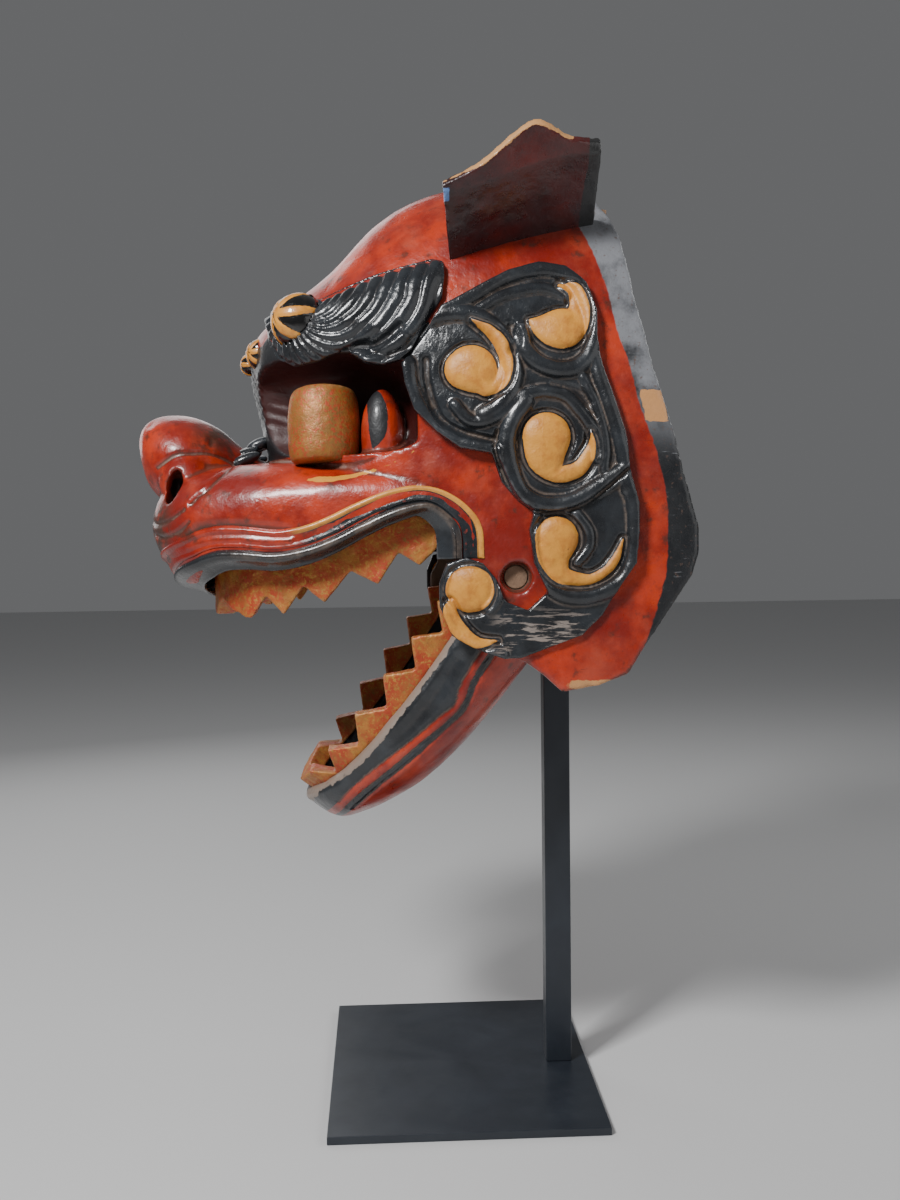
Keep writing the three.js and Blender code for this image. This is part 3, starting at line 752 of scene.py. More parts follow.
def red_lacquer():
    material, tree, place = begin_finish("red_lacquer")
    colour, rough, height = red_layers(tree, place)
    gilt = painted(tree, place, attribute(tree, "gilt"), 0.9, 5)
    colour = mix(tree, times(tree, gilt, spots(tree, place, 4, 0.82, 0.08)), colour, GILT)
    # Darker brown patches where the head marks them
    darker_patches = times(tree, attribute(tree, "darker_patches"), spots(tree, place, 7, 0.66, 0.12))
    colour = mix(tree, darker_patches, colour, DARKER_BROWN)
    dark = painted(tree, place, attribute(tree, "dark"), 1.0, 7)
    colour = mix(tree, dark, colour, LACQUER_BLACK)
    rough = ramp(tree, dark, 0.0, 1.0, rough, 0.5)
    rim = painted(tree, place, attribute(tree, "rim"), 1.6, 22, 0.6)
    colour = mix(tree, rim, colour, black_rim(tree, place))
    colour = mix(tree, painted(tree, place, attribute(tree, "chip"), 1.4, 6), colour, CHIPPED_WOOD)
    bare = attribute(tree, "bare")
    colour = mix(tree, bare, colour, mix(tree, cloud(tree, place, 14), *INSIDE_WOOD))
    # Painted shade inside the eye sockets, darker the deeper a point lies
    colour = mix(tree, attribute(tree, "painted_socket_shade"), colour, SOCKET_SHADE)
    rough = ramp(tree, bare, 0.0, 1.0, rough, 0.8)
    return end_finish(material, tree, colour, rough, height, 0.9, coat=0.35, coat_roughness=0.16)


RED_LACQUER = red_lacquer()

# %% [markdown]
# ## Black lacquer with gilt curls
# The mane and the brow are black lacquer. Their ridges have been polished by hands, and dust lies
# in the cuts. The curls that stand up as commas are gilded over, with black showing in chips.

# %% Black lacquer
FADED_BLACK = (0.024, 0.028, 0.033)
RUBBED_GREY = (0.23, 0.19, 0.165)
BLACK_DUST = (0.105, 0.074, 0.055)


def black_layers(tree, place, dust_start=0.10, dust_full=0.85):
    """The polished black coat, with its roughness and relief."""
    colour = spotted(tree, place, LACQUER_BLACK, (26, 0.45, 0.16, 1, FADED_BLACK))
    wear = times(tree, streaks(tree, place, 2.6, 0.42), attribute(tree, "worn"))
    colour = mix(tree, wear, colour, RUBBED_GREY)
    dust = dusty(tree, place, dust_start, dust_full)
    colour = mix(tree, dust, colour, BLACK_DUST, 0.8)
    ridge = times(tree, ramp(tree, attribute(tree, "hollow"), -0.25, -0.9), spots(tree, place, 7, 0.45, 0.1))
    colour = mix(tree, ridge, colour, SCUFFED_GREY, 0.25)
    rough = ramp(tree, cloud(tree, place, 14), 0.3, 0.75, 0.20, 0.40)
    rough = plus(tree, rough, times(tree, plus(tree, dust, wear), 0.35))
    return colour, rough, uneven(tree, place, 8, 1.4, 0.2)


def gilded_over(tree, place, colour, rough, gilt):
    """Gilt on top of the other layers, where the mask gilt is 1."""
    bright = spotted(tree, place, GILT, (8, 0.45, 0.14, 1, GILT_SHADE), (2.2, 0.22, 0.03, 0.6, OLD_GILT))
    return mix(tree, gilt, colour, bright), ramp(tree, gilt, 0.0, 1.0, rough, 0.47)


def black_lacquer():
    material, tree, place = begin_finish("black_lacquer")
    colour, rough, height = black_layers(tree, place)
    gilt = painted(tree, place, attribute(tree, "gilt"), 0.7, 5)
    gilt = times(tree, gilt, minus(tree, 1.0, spots(tree, place, 5, 0.13, 0.02)))
    colour, rough = gilded_over(tree, place, colour, rough, gilt)
    coat = ramp(tree, gilt, 0.0, 1.0, 0.4, 0.0)
    return end_finish(material, tree, colour, rough, height, 0.8, coat=coat, coat_roughness=0.12)


BLACK_LACQUER = black_lacquer()

# %% [markdown]
# ## Gilding on teeth and eyes
# Teeth and eyes were painted red and then gilded. The gold has rubbed through in a fine speckle,
# more on the teeth than on the eyes, so the speckle is a value of its own.

# %% Gilding
DARK_BRONZE = (0.17, 0.100, 0.028)
RED_UNDER_GOLD = (0.42, 0.055, 0.018)
PIT_BROWN = (0.10, 0.045, 0.020)
RUBBED_EDGE = (0.50, 0.30, 0.13)
TOOTH_DUST = (0.12, 0.075, 0.045)


def gilding(name, gold, red_amount, brown_amount):
    material, tree, place = begin_finish(name)
    shade = tuple(0.72 * part for part in gold)
    colour = spotted(tree, place, gold, (12, 0.5, 0.2, 1, shade), (20, brown_amount, 0.15, 0.8, DARK_BRONZE))
    red = times(tree, spots(tree, place, 2.4, red_amount, 0.07),
                ramp(tree, cloud(tree, place, 16), 0.34, 0.62, 0.25, 1.0))
    colour = mix(tree, red, colour, RED_UNDER_GOLD)
    colour = spotted(tree, place, colour, (1.5, 0.26, 0.03, 0.7, PIT_BROWN))
    edge = times(tree, ramp(tree, attribute(tree, "hollow"), -0.15, -0.6), spots(tree, place, 3, 0.6, 0.1))
    colour = mix(tree, edge, colour, RUBBED_EDGE, 0.6)
    colour = mix(tree, dusty(tree, place, 0.12, 0.7), colour, TOOTH_DUST)
    rough = ramp(tree, cloud(tree, place, 3), 0.3, 0.7, 0.38, 0.60)
    return end_finish(material, tree, colour, rough, uneven(tree, place, 6, 1.2, 0.35), 0.7, metallic=0.25)


TOOTH_GILDING = gilding("tooth_gilding", (0.50, 0.235, 0.042), 0.62, 0.34)
# The eyes' gold is darker than the teeth's: the shade of the sockets is painted on it
SHADED_EYE_GILDING = gilding("shaded_eye_gilding", (0.36, 0.150, 0.028), 0.46, 0.46)

# %% [markdown]
# ## The other finishes
# The balls are the glossiest black on the head. The ears' red is painted dark with the shade that
# lies on their undersides, and it is worn to the wood along the upper edge. The rod and the block are
# bare wood, with a grain that runs across the head, and the stand is steel in satin black.

# %% Ball, ear, wood and steel finishes
def ball_lacquer():
    material, tree, place = begin_finish("ball_lacquer")
    colour = spotted(tree, place, (0.006, 0.006, 0.006), (9, 0.4, 0.14, 1, (0.016, 0.013, 0.011)))
    gilt = painted(tree, place, attribute(tree, "gilt"), 0.9, 3.0, 0.2)
    colour, rough = gilded_over(tree, place, colour, 0.13, gilt)
    colour = mix(tree, dusty(tree, place, 0.10, 0.5), colour, DUST_GREY)
    height = cloud(tree, place, 5)
    return end_finish(material, tree, colour, rough, height, 0.35, coat=0.6, coat_roughness=0.06)


# The ears' red is dark because the shade on their undersides is painted into it
EAR_SHADED_RED, EAR_SHADE, EAR_CORNER = (0.085, 0.010, 0.008), (0.022, 0.008, 0.009), (0.40, 0.040, 0.018)
EAR_FLECK, EAR_BLACK, EAR_WOOD = (0.020, 0.012, 0.012), (0.018, 0.018, 0.018), (0.48, 0.24, 0.085)
EAR_BLUE, EAR_DUST = (0.11, 0.22, 0.48), (0.20, 0.15, 0.11)


def ear_lacquer():
    material, tree, place = begin_finish("ear_lacquer")
    # The red is painted dark: it is the shade on the ear's underside
    colour = spotted(tree, place, EAR_SHADED_RED, (40, 0.55, 0.2, 1, EAR_SHADE))
    colour = mix(tree, attribute(tree, "corner"), colour, EAR_CORNER)
    colour = spotted(tree, place, colour, (2.2, 0.24, 0.04, 0.7, EAR_FLECK))
    colour = mix(tree, painted(tree, place, attribute(tree, "dark"), 2.4, 9), colour, EAR_BLACK)
    edge = painted(tree, place, attribute(tree, "worn"), 2.0, 5)
    colour = mix(tree, edge, colour, EAR_WOOD)
    colour = mix(tree, painted(tree, place, attribute(tree, "chip"), 0.8, 4), colour, EAR_BLUE)
    colour = mix(tree, dusty(tree, place, 0.10, 0.6), colour, EAR_DUST)
    rough = plus(tree, ramp(tree, cloud(tree, place, 14), 0.3, 0.75, 0.24, 0.44), times(tree, edge, 0.3))
    height = uneven(tree, place, 12, 1.5, 0.2)
    return end_finish(material, tree, colour, rough, height, 0.8, coat=0.35, coat_roughness=0.15)


def bare_wood():
    material, tree, place = begin_finish("bare_wood")
    stretched = add_node(tree, "ShaderNodeMapping", {"Vector": place, "Scale": (0.08, 1.0, 1.0)})
    grain = stretched.outputs["Vector"]
    colour = mix(tree, cloud(tree, grain, 3), (0.135, 0.078, 0.046), (0.30, 0.19, 0.12))
    colour = spotted(tree, place, colour, (12, 0.3, 0.1, 1, (0.075, 0.050, 0.036)))
    return end_finish(material, tree, colour, 0.78, cloud(tree, grain, 1.2), 0.3)


def black_steel():
    material, tree, place = begin_finish("black_steel")
    colour = spotted(tree, place, (0.016, 0.020, 0.027), (45, 0.45, 0.2, 1, (0.024, 0.029, 0.038)),
                     (2.0, 0.10, 0.015, 0.35, (0.10, 0.10, 0.11)))
    colour = mix(tree, painted(tree, place, attribute(tree, "chip"), 0.5, 2), colour, (0.55, 0.55, 0.56))
    rough = ramp(tree, cloud(tree, place, 30, 6.0), 0.3, 0.75, 0.30, 0.42)
    return end_finish(material, tree, colour, rough, cloud(tree, place, 0.9), 0.05)


BALL_LACQUER, EAR_LACQUER, WOOD, BLACK_STEEL = ball_lacquer(), ear_lacquer(), bare_wood(), black_steel()

# %% [markdown]
# ## Handing a piece over
# Each finished piece is given the body it moves with, and the solid of the frame that it stands for is
# hidden. Its points are kept inside the box of the solids, and pairs are made once and mirrored.

# %% Handing over
def hand_over(piece, finish, body, slot, *nodes):
    """Gives a piece its finish and its body, hides the solids it stands for, and keeps it inside their common box.
    """
    low, high = (np.array(corner) / MM for corner in cad_box)
    write_points(piece, np.clip(read_points(piece), low, high))
    piece.data.materials.clear()
    piece.data.materials.append(finish)
    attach(piece, body)
    if nodes:
        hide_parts(*nodes)
    report(piece)


def hand_over_pair(left, finish, slot, node):
    """Hands over the left piece and its copy on the right."""
    right = mirrored(left.name.replace("left", "right"), left)
    for piece, side in ((left, "left"), (right, "right")):
        hand_over(piece, finish, "head_on_stand", slot, f"{node}_{side}")

# %% [markdown]
# ## The head's block
# The real head is one block of light wood, carved outside and hollowed from behind. Here the skull,
# the muzzle, the nose and its wings are joined as solids, the eye sockets are cut, the side outline
# is sawn, and the inside is cut out. Blender's remesh then gives the block one skin of small even
# faces, which the strokes can carve.

# %% Outlines and openings of the block
MOUTH = table("y w top", (-181, 34, 452), (-176, 54, 456), (-166, 71, 460), (-148, 87, 462), (-115, 101, 463),
              (-75, 110, 464), (-35, 116, 466), (5, 120, 466), (50, 124, 466),
              mid=400, bottom=300, crown=6, foot=8)
SOCKET = table(
    "y x w mid top bottom crown foot",
    (-182, 104, 70, 514, 546, 482, 3, 4),
    (-145, 104, 76, 514, 546, 480, 3, 4),
    (-110, 112, 70, 514, 548, 479, 3, 4),
    (-75, 120, 62, 514, 548, 479, 3, 4),
    (-45, 134, 52, 512, 544, 481, 3, 4),
    (-30, 138, 34, 510, 534, 486, 2.5, 3),
)
HEAD_EDGE = [
    (-250, 389), (-205, 389), (-188, 390), (-174, 410), (-152, 412), (-111, 412), (-90, 418), (-69, 431),
    (-43, 445), (-29, 448), (-15, 445), (-8, 434), (-6, 414), (-8, 398), (-14, 388), (-14, 374),
    (-7, 358), (8, 348), (26, 341), (38, 338), (52, 328), (65, 316), (89, 320), (110, 328),
    (121, 346), (153, 394), (158, 410), (158, 427), (148, 461), (142, 490), (129, 534), (124, 560),
    (119, 582), (117, 602), (113, 628), (108, 645), (102, 655), (96, 690), (94, 740), (-250, 740),
]
WALL = 12
HEAD_GRAIN = 1.8
HOLE_RADIUS, RECESS_RADIUS, RECESS_FLOOR = 8.3, 10.5, 132.3
NOSTRIL = (62, -204, 459)
EYE_LUG, LUG_RADII = (97, -54, 492), (16.5, 15, 33)
print("wall:", WALL, "mm")

# %% The block
def both_sockets(piece, sides=64, step=4, **growth):
    """Takes the two eye sockets out of a piece."""
    combine(piece, skin("socket", SOCKET, sides, step, **growth), "DIFFERENCE")
    other = skin("socket", SOCKET, sides, step, **growth)
    write_points(other, read_points(other) * (-1, 1, 1))
    turn_out(other)
    combine(piece, other, "DIFFERENCE")


def both_eggs(piece, name, centre, radii, operation, tilt=0.0):
    for side in (1, -1):
        combine(piece, egg(name, (centre[0] * side, *centre[1:]), radii, tilt), operation)


def hollow_inside():
    """What the carver took out: the room for the dancer's head and the mouth."""
    room = skin("hollow", CRANIUM, grow=-WALL, shift=WALL)
    for shift in (0, WALL):
        both_sockets(room, 48, 6, grow=WALL, shift=shift)
    combine(room, block("face_block", (-200, -160, 450), (200, -100, 590)), "DIFFERENCE")
    combine(room, skin("mouth", MOUTH), "UNION")
    return room


def carved_block():
    head = skin("carved_head", CRANIUM)
    combine(head, skin("muzzle", MUZZLE), "UNION")
    combine(head, skin("nose", NOSE), "UNION")
    both_eggs(head, "wing", (44, -198, 464), (20, 20, 20), "UNION")
    both_sockets(head)
    both_eggs(head, "eye_lug", EYE_LUG, LUG_RADII, "UNION")
    combine(head, slab("head_edge", HEAD_EDGE), "INTERSECT")
    combine(head, hollow_inside(), "DIFFERENCE")
    both_eggs(head, "nostril", NOSTRIL, (20.4, 6, 13.2), "DIFFERENCE", -12)
    combine(head, rod("rod_hole", HOLE_RADIUS, (-200, 200), HINGE_Y, HINGE_Z), "DIFFERENCE")
    for ends in ((RECESS_FLOOR, 200), (-200, -RECESS_FLOOR)):
        combine(head, rod("recess", RECESS_RADIUS, ends, HINGE_Y, HINGE_Z), "DIFFERENCE")
    even_out(head, HEAD_GRAIN, 4)
    return head


carved_head = carved_block()
report(carved_head)

# %% [markdown]
# The strokes below were measured on the cheek. Each is a list of y and z, and the numbers after it
# are half the width of the cut and its depth. A negative depth raises a ridge.

# %% Strokes of the head
HEAD_CUTS = (
    # The fold between the cheek and the nose, and round the wing of the nose
    ([(-189, 446.5), (-183.5, 452), (-178, 456), (-171, 464), (-165.6, 470), (-162.3, 475.6)], 3.0, 2.2),
    ([(-218.4, 474), (-209.5, 480), (-202.6, 483.4), (-191.6, 484), (-181.2, 484.2), (-171.8, 481.6),
      (-163.5, 477.2)], 2.6, 2.0),
    # The soft fold above the front of the lip, and the ridge between the two
    ([(-196, 424), (-180, 429), (-165, 430), (-149.5, 429.7), (-133, 428.4), (-120, 426.6)], 7.0, 1.8),
    ([(-190, 417), (-175, 421), (-155, 422), (-135, 420), (-118, 421)], 4.5, -1.3),
    # The folds at the front of the lip
    ([(-227, 436), (-216, 433), (-205, 436), (-194, 443)], 2.8, 2.0),
    ([(-224, 427), (-212, 423), (-199, 427), (-190, 434)], 2.4, 1.8),
    # The shelf under the eye
    ([(-140, 477), (-123, 478), (-108, 475), (-96, 472), (-80, 472), (-66, 474), (-52, 480)], 4.0, 1.2),
)
GILT_CHEEK_LINE = [(-107, 461.8, 0.2), (-97, 462, 1.9), (-84.5, 462.6, 1.6), (-73, 464.5, 1.3),
                   (-58.5, 468, 0.9), (-49, 471, 0.8), (-39.5, 475.8, 0.5), (-31, 481, 0.2)]
EYE_CORNER = [(-60.5, 521, 4), (-58.5, 516, 6), (-57, 506, 7), (-57, 495, 6), (-59, 488, 3.4),
              (-60.7, 483, 0.3)]
BROW_LOWER = [(-4, 620), (-6, 600), (-13, 585), (-27, 564), (-36, 550), (-53, 545), (-70, 553), (-80, 553),
              (-90, 547), (-100, 542), (-114, 539), (-128, 546), (-138, 560)]
RIM_LINE = [(70, 690), (78, 655), (82.5, 641), (92, 616), (100, 588), (105, 560), (113, 534), (116, 516),
            (126.5, 484.5), (134, 457), (136, 430), (134, 391), (123, 354), (112, 322)]
WRINKLE = 8.5  # the bridge between the eyes has wrinkles so far apart
print("cuts:", len(HEAD_CUTS))

# %% Carving the head
def skin_depth(x, y, z):
    """How far a point lies below the outside of the head."""
    depth = np.full(len(y), -FAR)
    for rows in (CRANIUM, MUZZLE, NOSE):
        depth = np.maximum(depth, np.where(reach(rows, y, z) > 0, reach(rows, y, z) - np.abs(x), -FAR))
    return depth


def carve_head(head):
    points, normals = read_points(head), read_normals(head)
    x, y, z = points.T
    outside = ease(normals[:, 0] * np.sign(x), 0.0, 0.35) * (skin_depth(x, y, z) < 4)
    cut = np.zeros(len(points))
    for line, half, depth in HEAD_CUTS:
        cut += depth * bump(distance_to(line, y, z), half)
    cut *= outside
    # The wrinkles of the bridge between the eyes, like a fishbone
    bridge = ease(-normals[:, 1], 0.15, 0.5) * ease(z, 500, 508)
    bridge *= ease(-z, -552, -544) * ease(-np.abs(x), -42, -30)
    cut += 1.5 * bridge * (0.5 + 0.5 * np.sin((z + 0.75 * np.abs(x)) / WRINKLE * 2 * math.pi))
    cut += 0.35 * wobble(points, 26, 1) + 0.10 * wobble(points, 7, 2)
    write_points(head, points - normals * cut[:, None])


carve_head(carved_head)
print("carved from z", round(read_points(carved_head)[:, 2].min(), 1), "mm up")

# %% [markdown]
# Paint follows the carving. Each attribute is a distance in millimetres to the edge of a painted
# area, or a share from 0 to 1, and the red finish turns it into black, gilt, bare wood, darker brown
# patches or painted shade in the eye sockets.

# %% Painting the head
def paint_head(head):
    points, normals = read_points(head), read_normals(head)
    x, y, z = points.T
    below = skin_depth(x, y, z)
    paint(head, "hollow", sag(head, 6))
    side = np.abs(x) > 60
    paint(head, "gilt", np.where(side & (below < 5), inside_of(GILT_CHEEK_LINE, y, z)[0], -FAR))
    corner = np.where(side, inside_of(EYE_CORNER, y, z)[0], -FAR)
    bridge = np.minimum(np.minimum(z - 480, 560 - z), 74 - np.abs(x))
    bridge = np.where((normals[:, 1] < -0.15) & (y > -162), bridge, -FAR)
    nostril = 4 - np.hypot((y - NOSTRIL[1]) / 1.3, (z - NOSTRIL[2]) / 1.9)
    nostril = np.where((below > 1.2) & (np.abs(x) > 30), nostril, -FAR)
    # A black strip along the brow's lower edge: the hair's black carried down onto the head, and painted shade under
    # the brow
    hair_black_and_shade_under_brow = 6 - distance_to(BROW_LOWER[3:], y, z)
    for patch in (nostril, bridge, np.where(side, hair_black_and_shade_under_brow, -FAR)):
        corner = np.maximum(corner, patch)
    paint(head, "dark", corner)
    paint(head, "rim", beyond(RIM_LINE[::-1], y, z))
    paint(head, "scuffed", ease(z, 470, 520))
    lower_chip = np.minimum(4 - np.abs(y - 92) / 6, 2.5 - np.abs(z - 321) / 1.2)
    gilt_patch = np.minimum(7.5 - np.abs(y - 128 + (z - 508) * 0.22), 10.5 - np.abs(z - 508))
    paint(head, "chip", np.where(x > 0, np.maximum(gilt_patch, lower_chip), -FAR))
    lug = np.linalg.norm((np.stack([np.abs(x), y, z], 1) - EYE_LUG) / LUG_RADII, axis=1) < 1.1
    wall = column(SOCKET, "x", y) - column(SOCKET, "w", y) - 4
    socket = (y < -24) & (np.abs(x) > wall) & (np.abs(z - 514) < 38) & (below > 0)
    room = (below > 7) & (y > -15) & ~((normals[:, 1] > 0.75) & (y > 60))
    mouth = (below > 9) & (y <= -15) & (y > np.where(z < 470, -184, -145))
    paint(head, "bare", np.where((room | mouth) & ~socket, 1.0, 0.0))
    fold = distance_to(HEAD_CUTS[2][0], y, z)
    # Darker brown at the lower front of the muzzle, on a round patch of the nose and along the fold above the lip
    darker_patches = ease(-y, 198, 214) * ease(-z, -456, -444) + bump(np.hypot(y + 176, z - 500), 26)
    paint(head, "darker_patches", clamp(darker_patches + 0.8 * bump(fold, 9) * ease(-y, 124, 160)))
    # Painted shade in the eye sockets above the shelf, deeper in darker, and none on the lug
    paint(head, "painted_socket_shade", np.where(socket & ~lug, ease(below, 1.5, 7) * ease(z, 474, 484), 0.0))


paint_head(carved_head)
thin_out(carved_head)
hand_over(carved_head, RED_LACQUER, "head_on_stand", "red_lacquer", "upper_head")

# %% [markdown]
# A few leaves of hair lie on the nose in front of the bridge. Each is a flattened egg, raised at the
# back, and they are joined and given one skin.

# %% Leaves on the nose
LEAF_HEIGHT, LEAF_TILT = 4.5, 22
# Leaves: x, y, z, half the width and half the length
NOSE_LEAVES = ((0, -157, 487, 7, 14), (15, -160, 484, 7, 13), (-15, -160, 484, 7, 13), (29, -157, 480, 6, 13),
               (-29, -157, 480, 6, 13), (8, -148, 493, 6, 10), (-8, -148, 493, 6, 10))


def build_nose_leaves():
    leaves, *others = [egg("nose_leaves", (x, y, z), (wide, long, LEAF_HEIGHT), LEAF_TILT)
                       for x, y, z, wide, long in NOSE_LEAVES]
    for leaf in others:
        combine(leaves, leaf, "UNION")
    even_out(leaves, 0.8, 2)
    paint(leaves, "hollow", sag(leaves, 5))
    paint(leaves, "gilt", -FAR)
    paint(leaves, "worn", 0)
    return leaves


hand_over(build_nose_leaves(), BLACK_LACQUER, "head_on_stand", "black_lacquer", "upper_head")

# %% [markdown]
# ## The lip
# A rolled lip follows the mouth from one corner round the front to the other. From the cheek
# inwards it has a gilt line, a black band, a dark cut and a round black roll. It is a flat grid that
# is bent along the path of the mouth: one way of the grid runs along the lip, the other across it.

# %% The path of the lip
MUZZLE_MIDDLE = -120
LIP_SIDE = [(-189, 408), (-180, 412), (-168, 415), (-150, 415), (-128, 413.5), (-107, 417), (-88, 424),
            (-68.5, 433.5), (-49.5, 441.5), (-30.5, 446.2), (-19, 444), (-9, 436), (-3.5, 426), (-2.5, 407)]
LIP_FRONT = [(0, 393), (18, 394), (34, 399)]
LIP_PROFILE = [(12.5, -2.0), (11.6, 0.2), (10.6, 1.3), (9.4, 1.3), (8.4, 0.3), (6.5, -0.3), (4.0, 0.0),
               (1.6, 0.8), (0.5, -0.2), (0.0, -1.6), (-0.6, 0.6), (-1.6, 2.9), (-3.2, 4.0), (-4.9, 3.4),
               (-6.4, 1.0), (-7.6, -2.4), (-9.4, -6.0), (-11.4, -8.0)]
# How wide and how high the lip is at so many degrees from the front
LIP_WIDTH = [60, 95, 120, 132], [1.35, 1.15, 1.0, 0.75]
LIP_HEIGHT = [0, 40, 120, 132], [1.0, 1.0, 1.0, 0.8]
LIP_STEPS, LIP_ROWS, LIP_THICK = 460, 40, 4


def muzzle_radius(turn, z):
    """How far the skin is from the muzzle's middle in the direction turn, where 0 is straight ahead."""
    near, far = np.zeros_like(turn), np.full_like(turn, 200.0)
    for _ in range(32):
        radius = (near + far) / 2
        x, y = radius * np.sin(turn), MUZZLE_MIDDLE - radius * np.cos(turn)
        inside = np.abs(x) < np.maximum(reach(MUZZLE, y, z), reach(CRANIUM, y, z))
        near, far = np.where(inside, radius, near), np.where(inside, far, radius)
    return near


def lip_path(steps):
    """Turn and height along the whole lip."""
    y, z = np.array(LIP_SIDE, float).T
    side_turn = np.degrees(np.arctan2(reach(MUZZLE, y, z), MUZZLE_MIDDLE - y))
    half = LIP_FRONT + list(zip(side_turn, z))
    whole = [(-turn, height) for turn, height in half[:0:-1]] + half
    curve = curve_through(whole, 0.5)
    run = np.concatenate([[0], np.cumsum(np.hypot(*(np.diff(curve, axis=0) * (2.0, 1.0)).T))])
    at = np.linspace(0, run[-1], steps)
    return np.radians(np.interp(at, run, curve[:, 0])), np.interp(at, run, curve[:, 1])


print("steps along the lip:", LIP_STEPS)

# %% The lip
def build_lip():
    bm = bmesh.new()
    bmesh.ops.create_grid(bm, x_segments=LIP_STEPS, y_segments=LIP_ROWS, size=0.5 * MM)
    lip = object_from("lip", bm)
    flat = read_points(lip)
    turn, height = lip_path(LIP_STEPS + 1)
    step = np.clip(np.round((flat[:, 0] + 0.5) * LIP_STEPS).astype(int), 0, LIP_STEPS)
    profile = curve_through(LIP_PROFILE, 0.1)
    row = np.clip((0.5 - flat[:, 1]) * (len(profile) - 1), 0, len(profile) - 1).astype(int)
    v, h = profile[row].T
    radius = muzzle_radius(turn, height)
    run, rise = np.gradient(turn) * radius, np.gradient(height)
    length = np.hypot(run, rise)
    corner = np.degrees(np.abs(turn))
    v = v * np.interp(corner, *LIP_WIDTH)[step]
    h = h * np.interp(corner, *LIP_HEIGHT)[step]
    bent_turn = turn[step] - v * (rise / length)[step] / radius[step]
    bent_height = height[step] + v * (run / length)[step]
    out = muzzle_radius(bent_turn, bent_height)
    lift = h + 0.25 * wobble(np.stack([bent_turn * 100, bent_height, 0 * h], 1), 9, 5)
    x, y = (out + lift) * np.sin(bent_turn), MUZZLE_MIDDLE - (out + lift) * np.cos(bent_turn)
    write_points(lip, np.stack([x, y, bent_height], 1))
    paint(lip, "across", profile[row, 0])
    solid = lip.modifiers.new("thickness", "SOLIDIFY")
    solid.thickness = LIP_THICK * MM
    solid.offset = -1
    settle(lip)
    turn_out(lip)
    lip.data.shade_smooth()
    paint(lip, "hollow", sag(lip, 4))
    paint(lip, "worn", 0)
    return lip


lip = build_lip()

# %% [markdown]
# The lip's finish reads how far across the lip a point lies. The roll is black, rubbed brown towards the
# back, the band above it shows red and some green, and past the eye the gilt line runs to the corner.

# %% The lip's lacquer
ROLL_BROWNS = (0.045, 0.036, 0.032), (0.110, 0.082, 0.064)
BAND_RED, OLD_GREEN = (0.20, 0.035, 0.025), (0.045, 0.115, 0.115)


def lip_lacquer():
    material, tree, place = begin_finish("lip_lacquer")
    across = attribute(tree, "across")
    back = add_node(tree, "ShaderNodeSeparateXYZ", {0: place}).outputs["Y"]
    black, rough, height = black_layers(tree, place, 0.25, 1.1)
    red, _, _ = red_layers(tree, place)
    worn = mix(tree, spots(tree, place, 14, 0.5, 0.12), *ROLL_BROWNS)
    roll = times(tree, ramp(tree, across, -0.5, -2.0), ramp(tree, across, -6.6, -5.2))
    roll = times(tree, roll, ramp(tree, back, -0.180, -0.130))
    colour = mix(tree, times(tree, roll, spots(tree, place, 18, 0.62, 0.14)), black, worn)
    band = times(tree, spots(tree, place, 6, 0.30, 0.03), ramp(tree, across, 0.4, 2.0))
    colour = mix(tree, band, colour, BAND_RED)
    green = times(tree, spots(tree, place, 11, 0.22, 0.03), ramp(tree, across, 3.5, 5.0))
    colour = mix(tree, green, colour, OLD_GREEN)
    front = plus(tree, back, times(tree, cloud(tree, place, 9), 0.02))
    front = ramp(tree, front, -0.092, -0.104)
    above = times(tree, front, ramp(tree, across, 0.0, 0.4))
    colour = mix(tree, above, colour, red)
    gilt = times(tree, ramp(tree, across, 7.9, 8.4), ramp(tree, across, 12.2, 11.7))
    gilt = times(tree, gilt, ramp(tree, back, -0.121, -0.108))
    gilt = times(tree, gilt, spots(tree, place, 4, 0.90, 0.05))
    colour, rough = gilded_over(tree, place, colour, rough, gilt)
    return end_finish(material, tree, colour, rough, height, 0.6, coat=0.35, coat_roughness=0.15)


hand_over(lip, lip_lacquer(), "head_on_stand", "black_lacquer", "upper_head")

# %% [markdown]
# ## The panels of curls
# Each cheek carries a raised panel, cut into ropes that roll up into curls. A gilded comma stands in
# the middle of each curl. The panel is the side outline cut from a thicker skull, and the ropes,
# the grooves and the commas are strokes that raise or lower its face.

# %% Strokes of the curls
MANE_EDGE = [
    (-13, 576), (9, 588), (32, 600), (53, 606), (71, 603), (85, 592), (91, 572), (90, 554),
    (94, 534), (103, 511), (109, 490), (110, 467), (116, 444), (116, 423), (114, 403), (104, 389),
    (92, 369), (78, 355), (37, 340), (26, 339.5), (7, 346), (-9, 355), (-17, 375), (-17, 391),
    (-12, 404), (1, 408), (12, 404), (20, 394), (27, 378), (42, 372), (55, 384), (46, 404),
    (43, 426), (46, 438), (35, 446), (25, 458), (19, 477), (-2, 481), (-17, 492), (-32, 507),
    (-38, 525), (-40, 538),
]
MANE_FACE = 7.5
FLOOR_DEPTH = 3.4
DEEPEST = 6.6
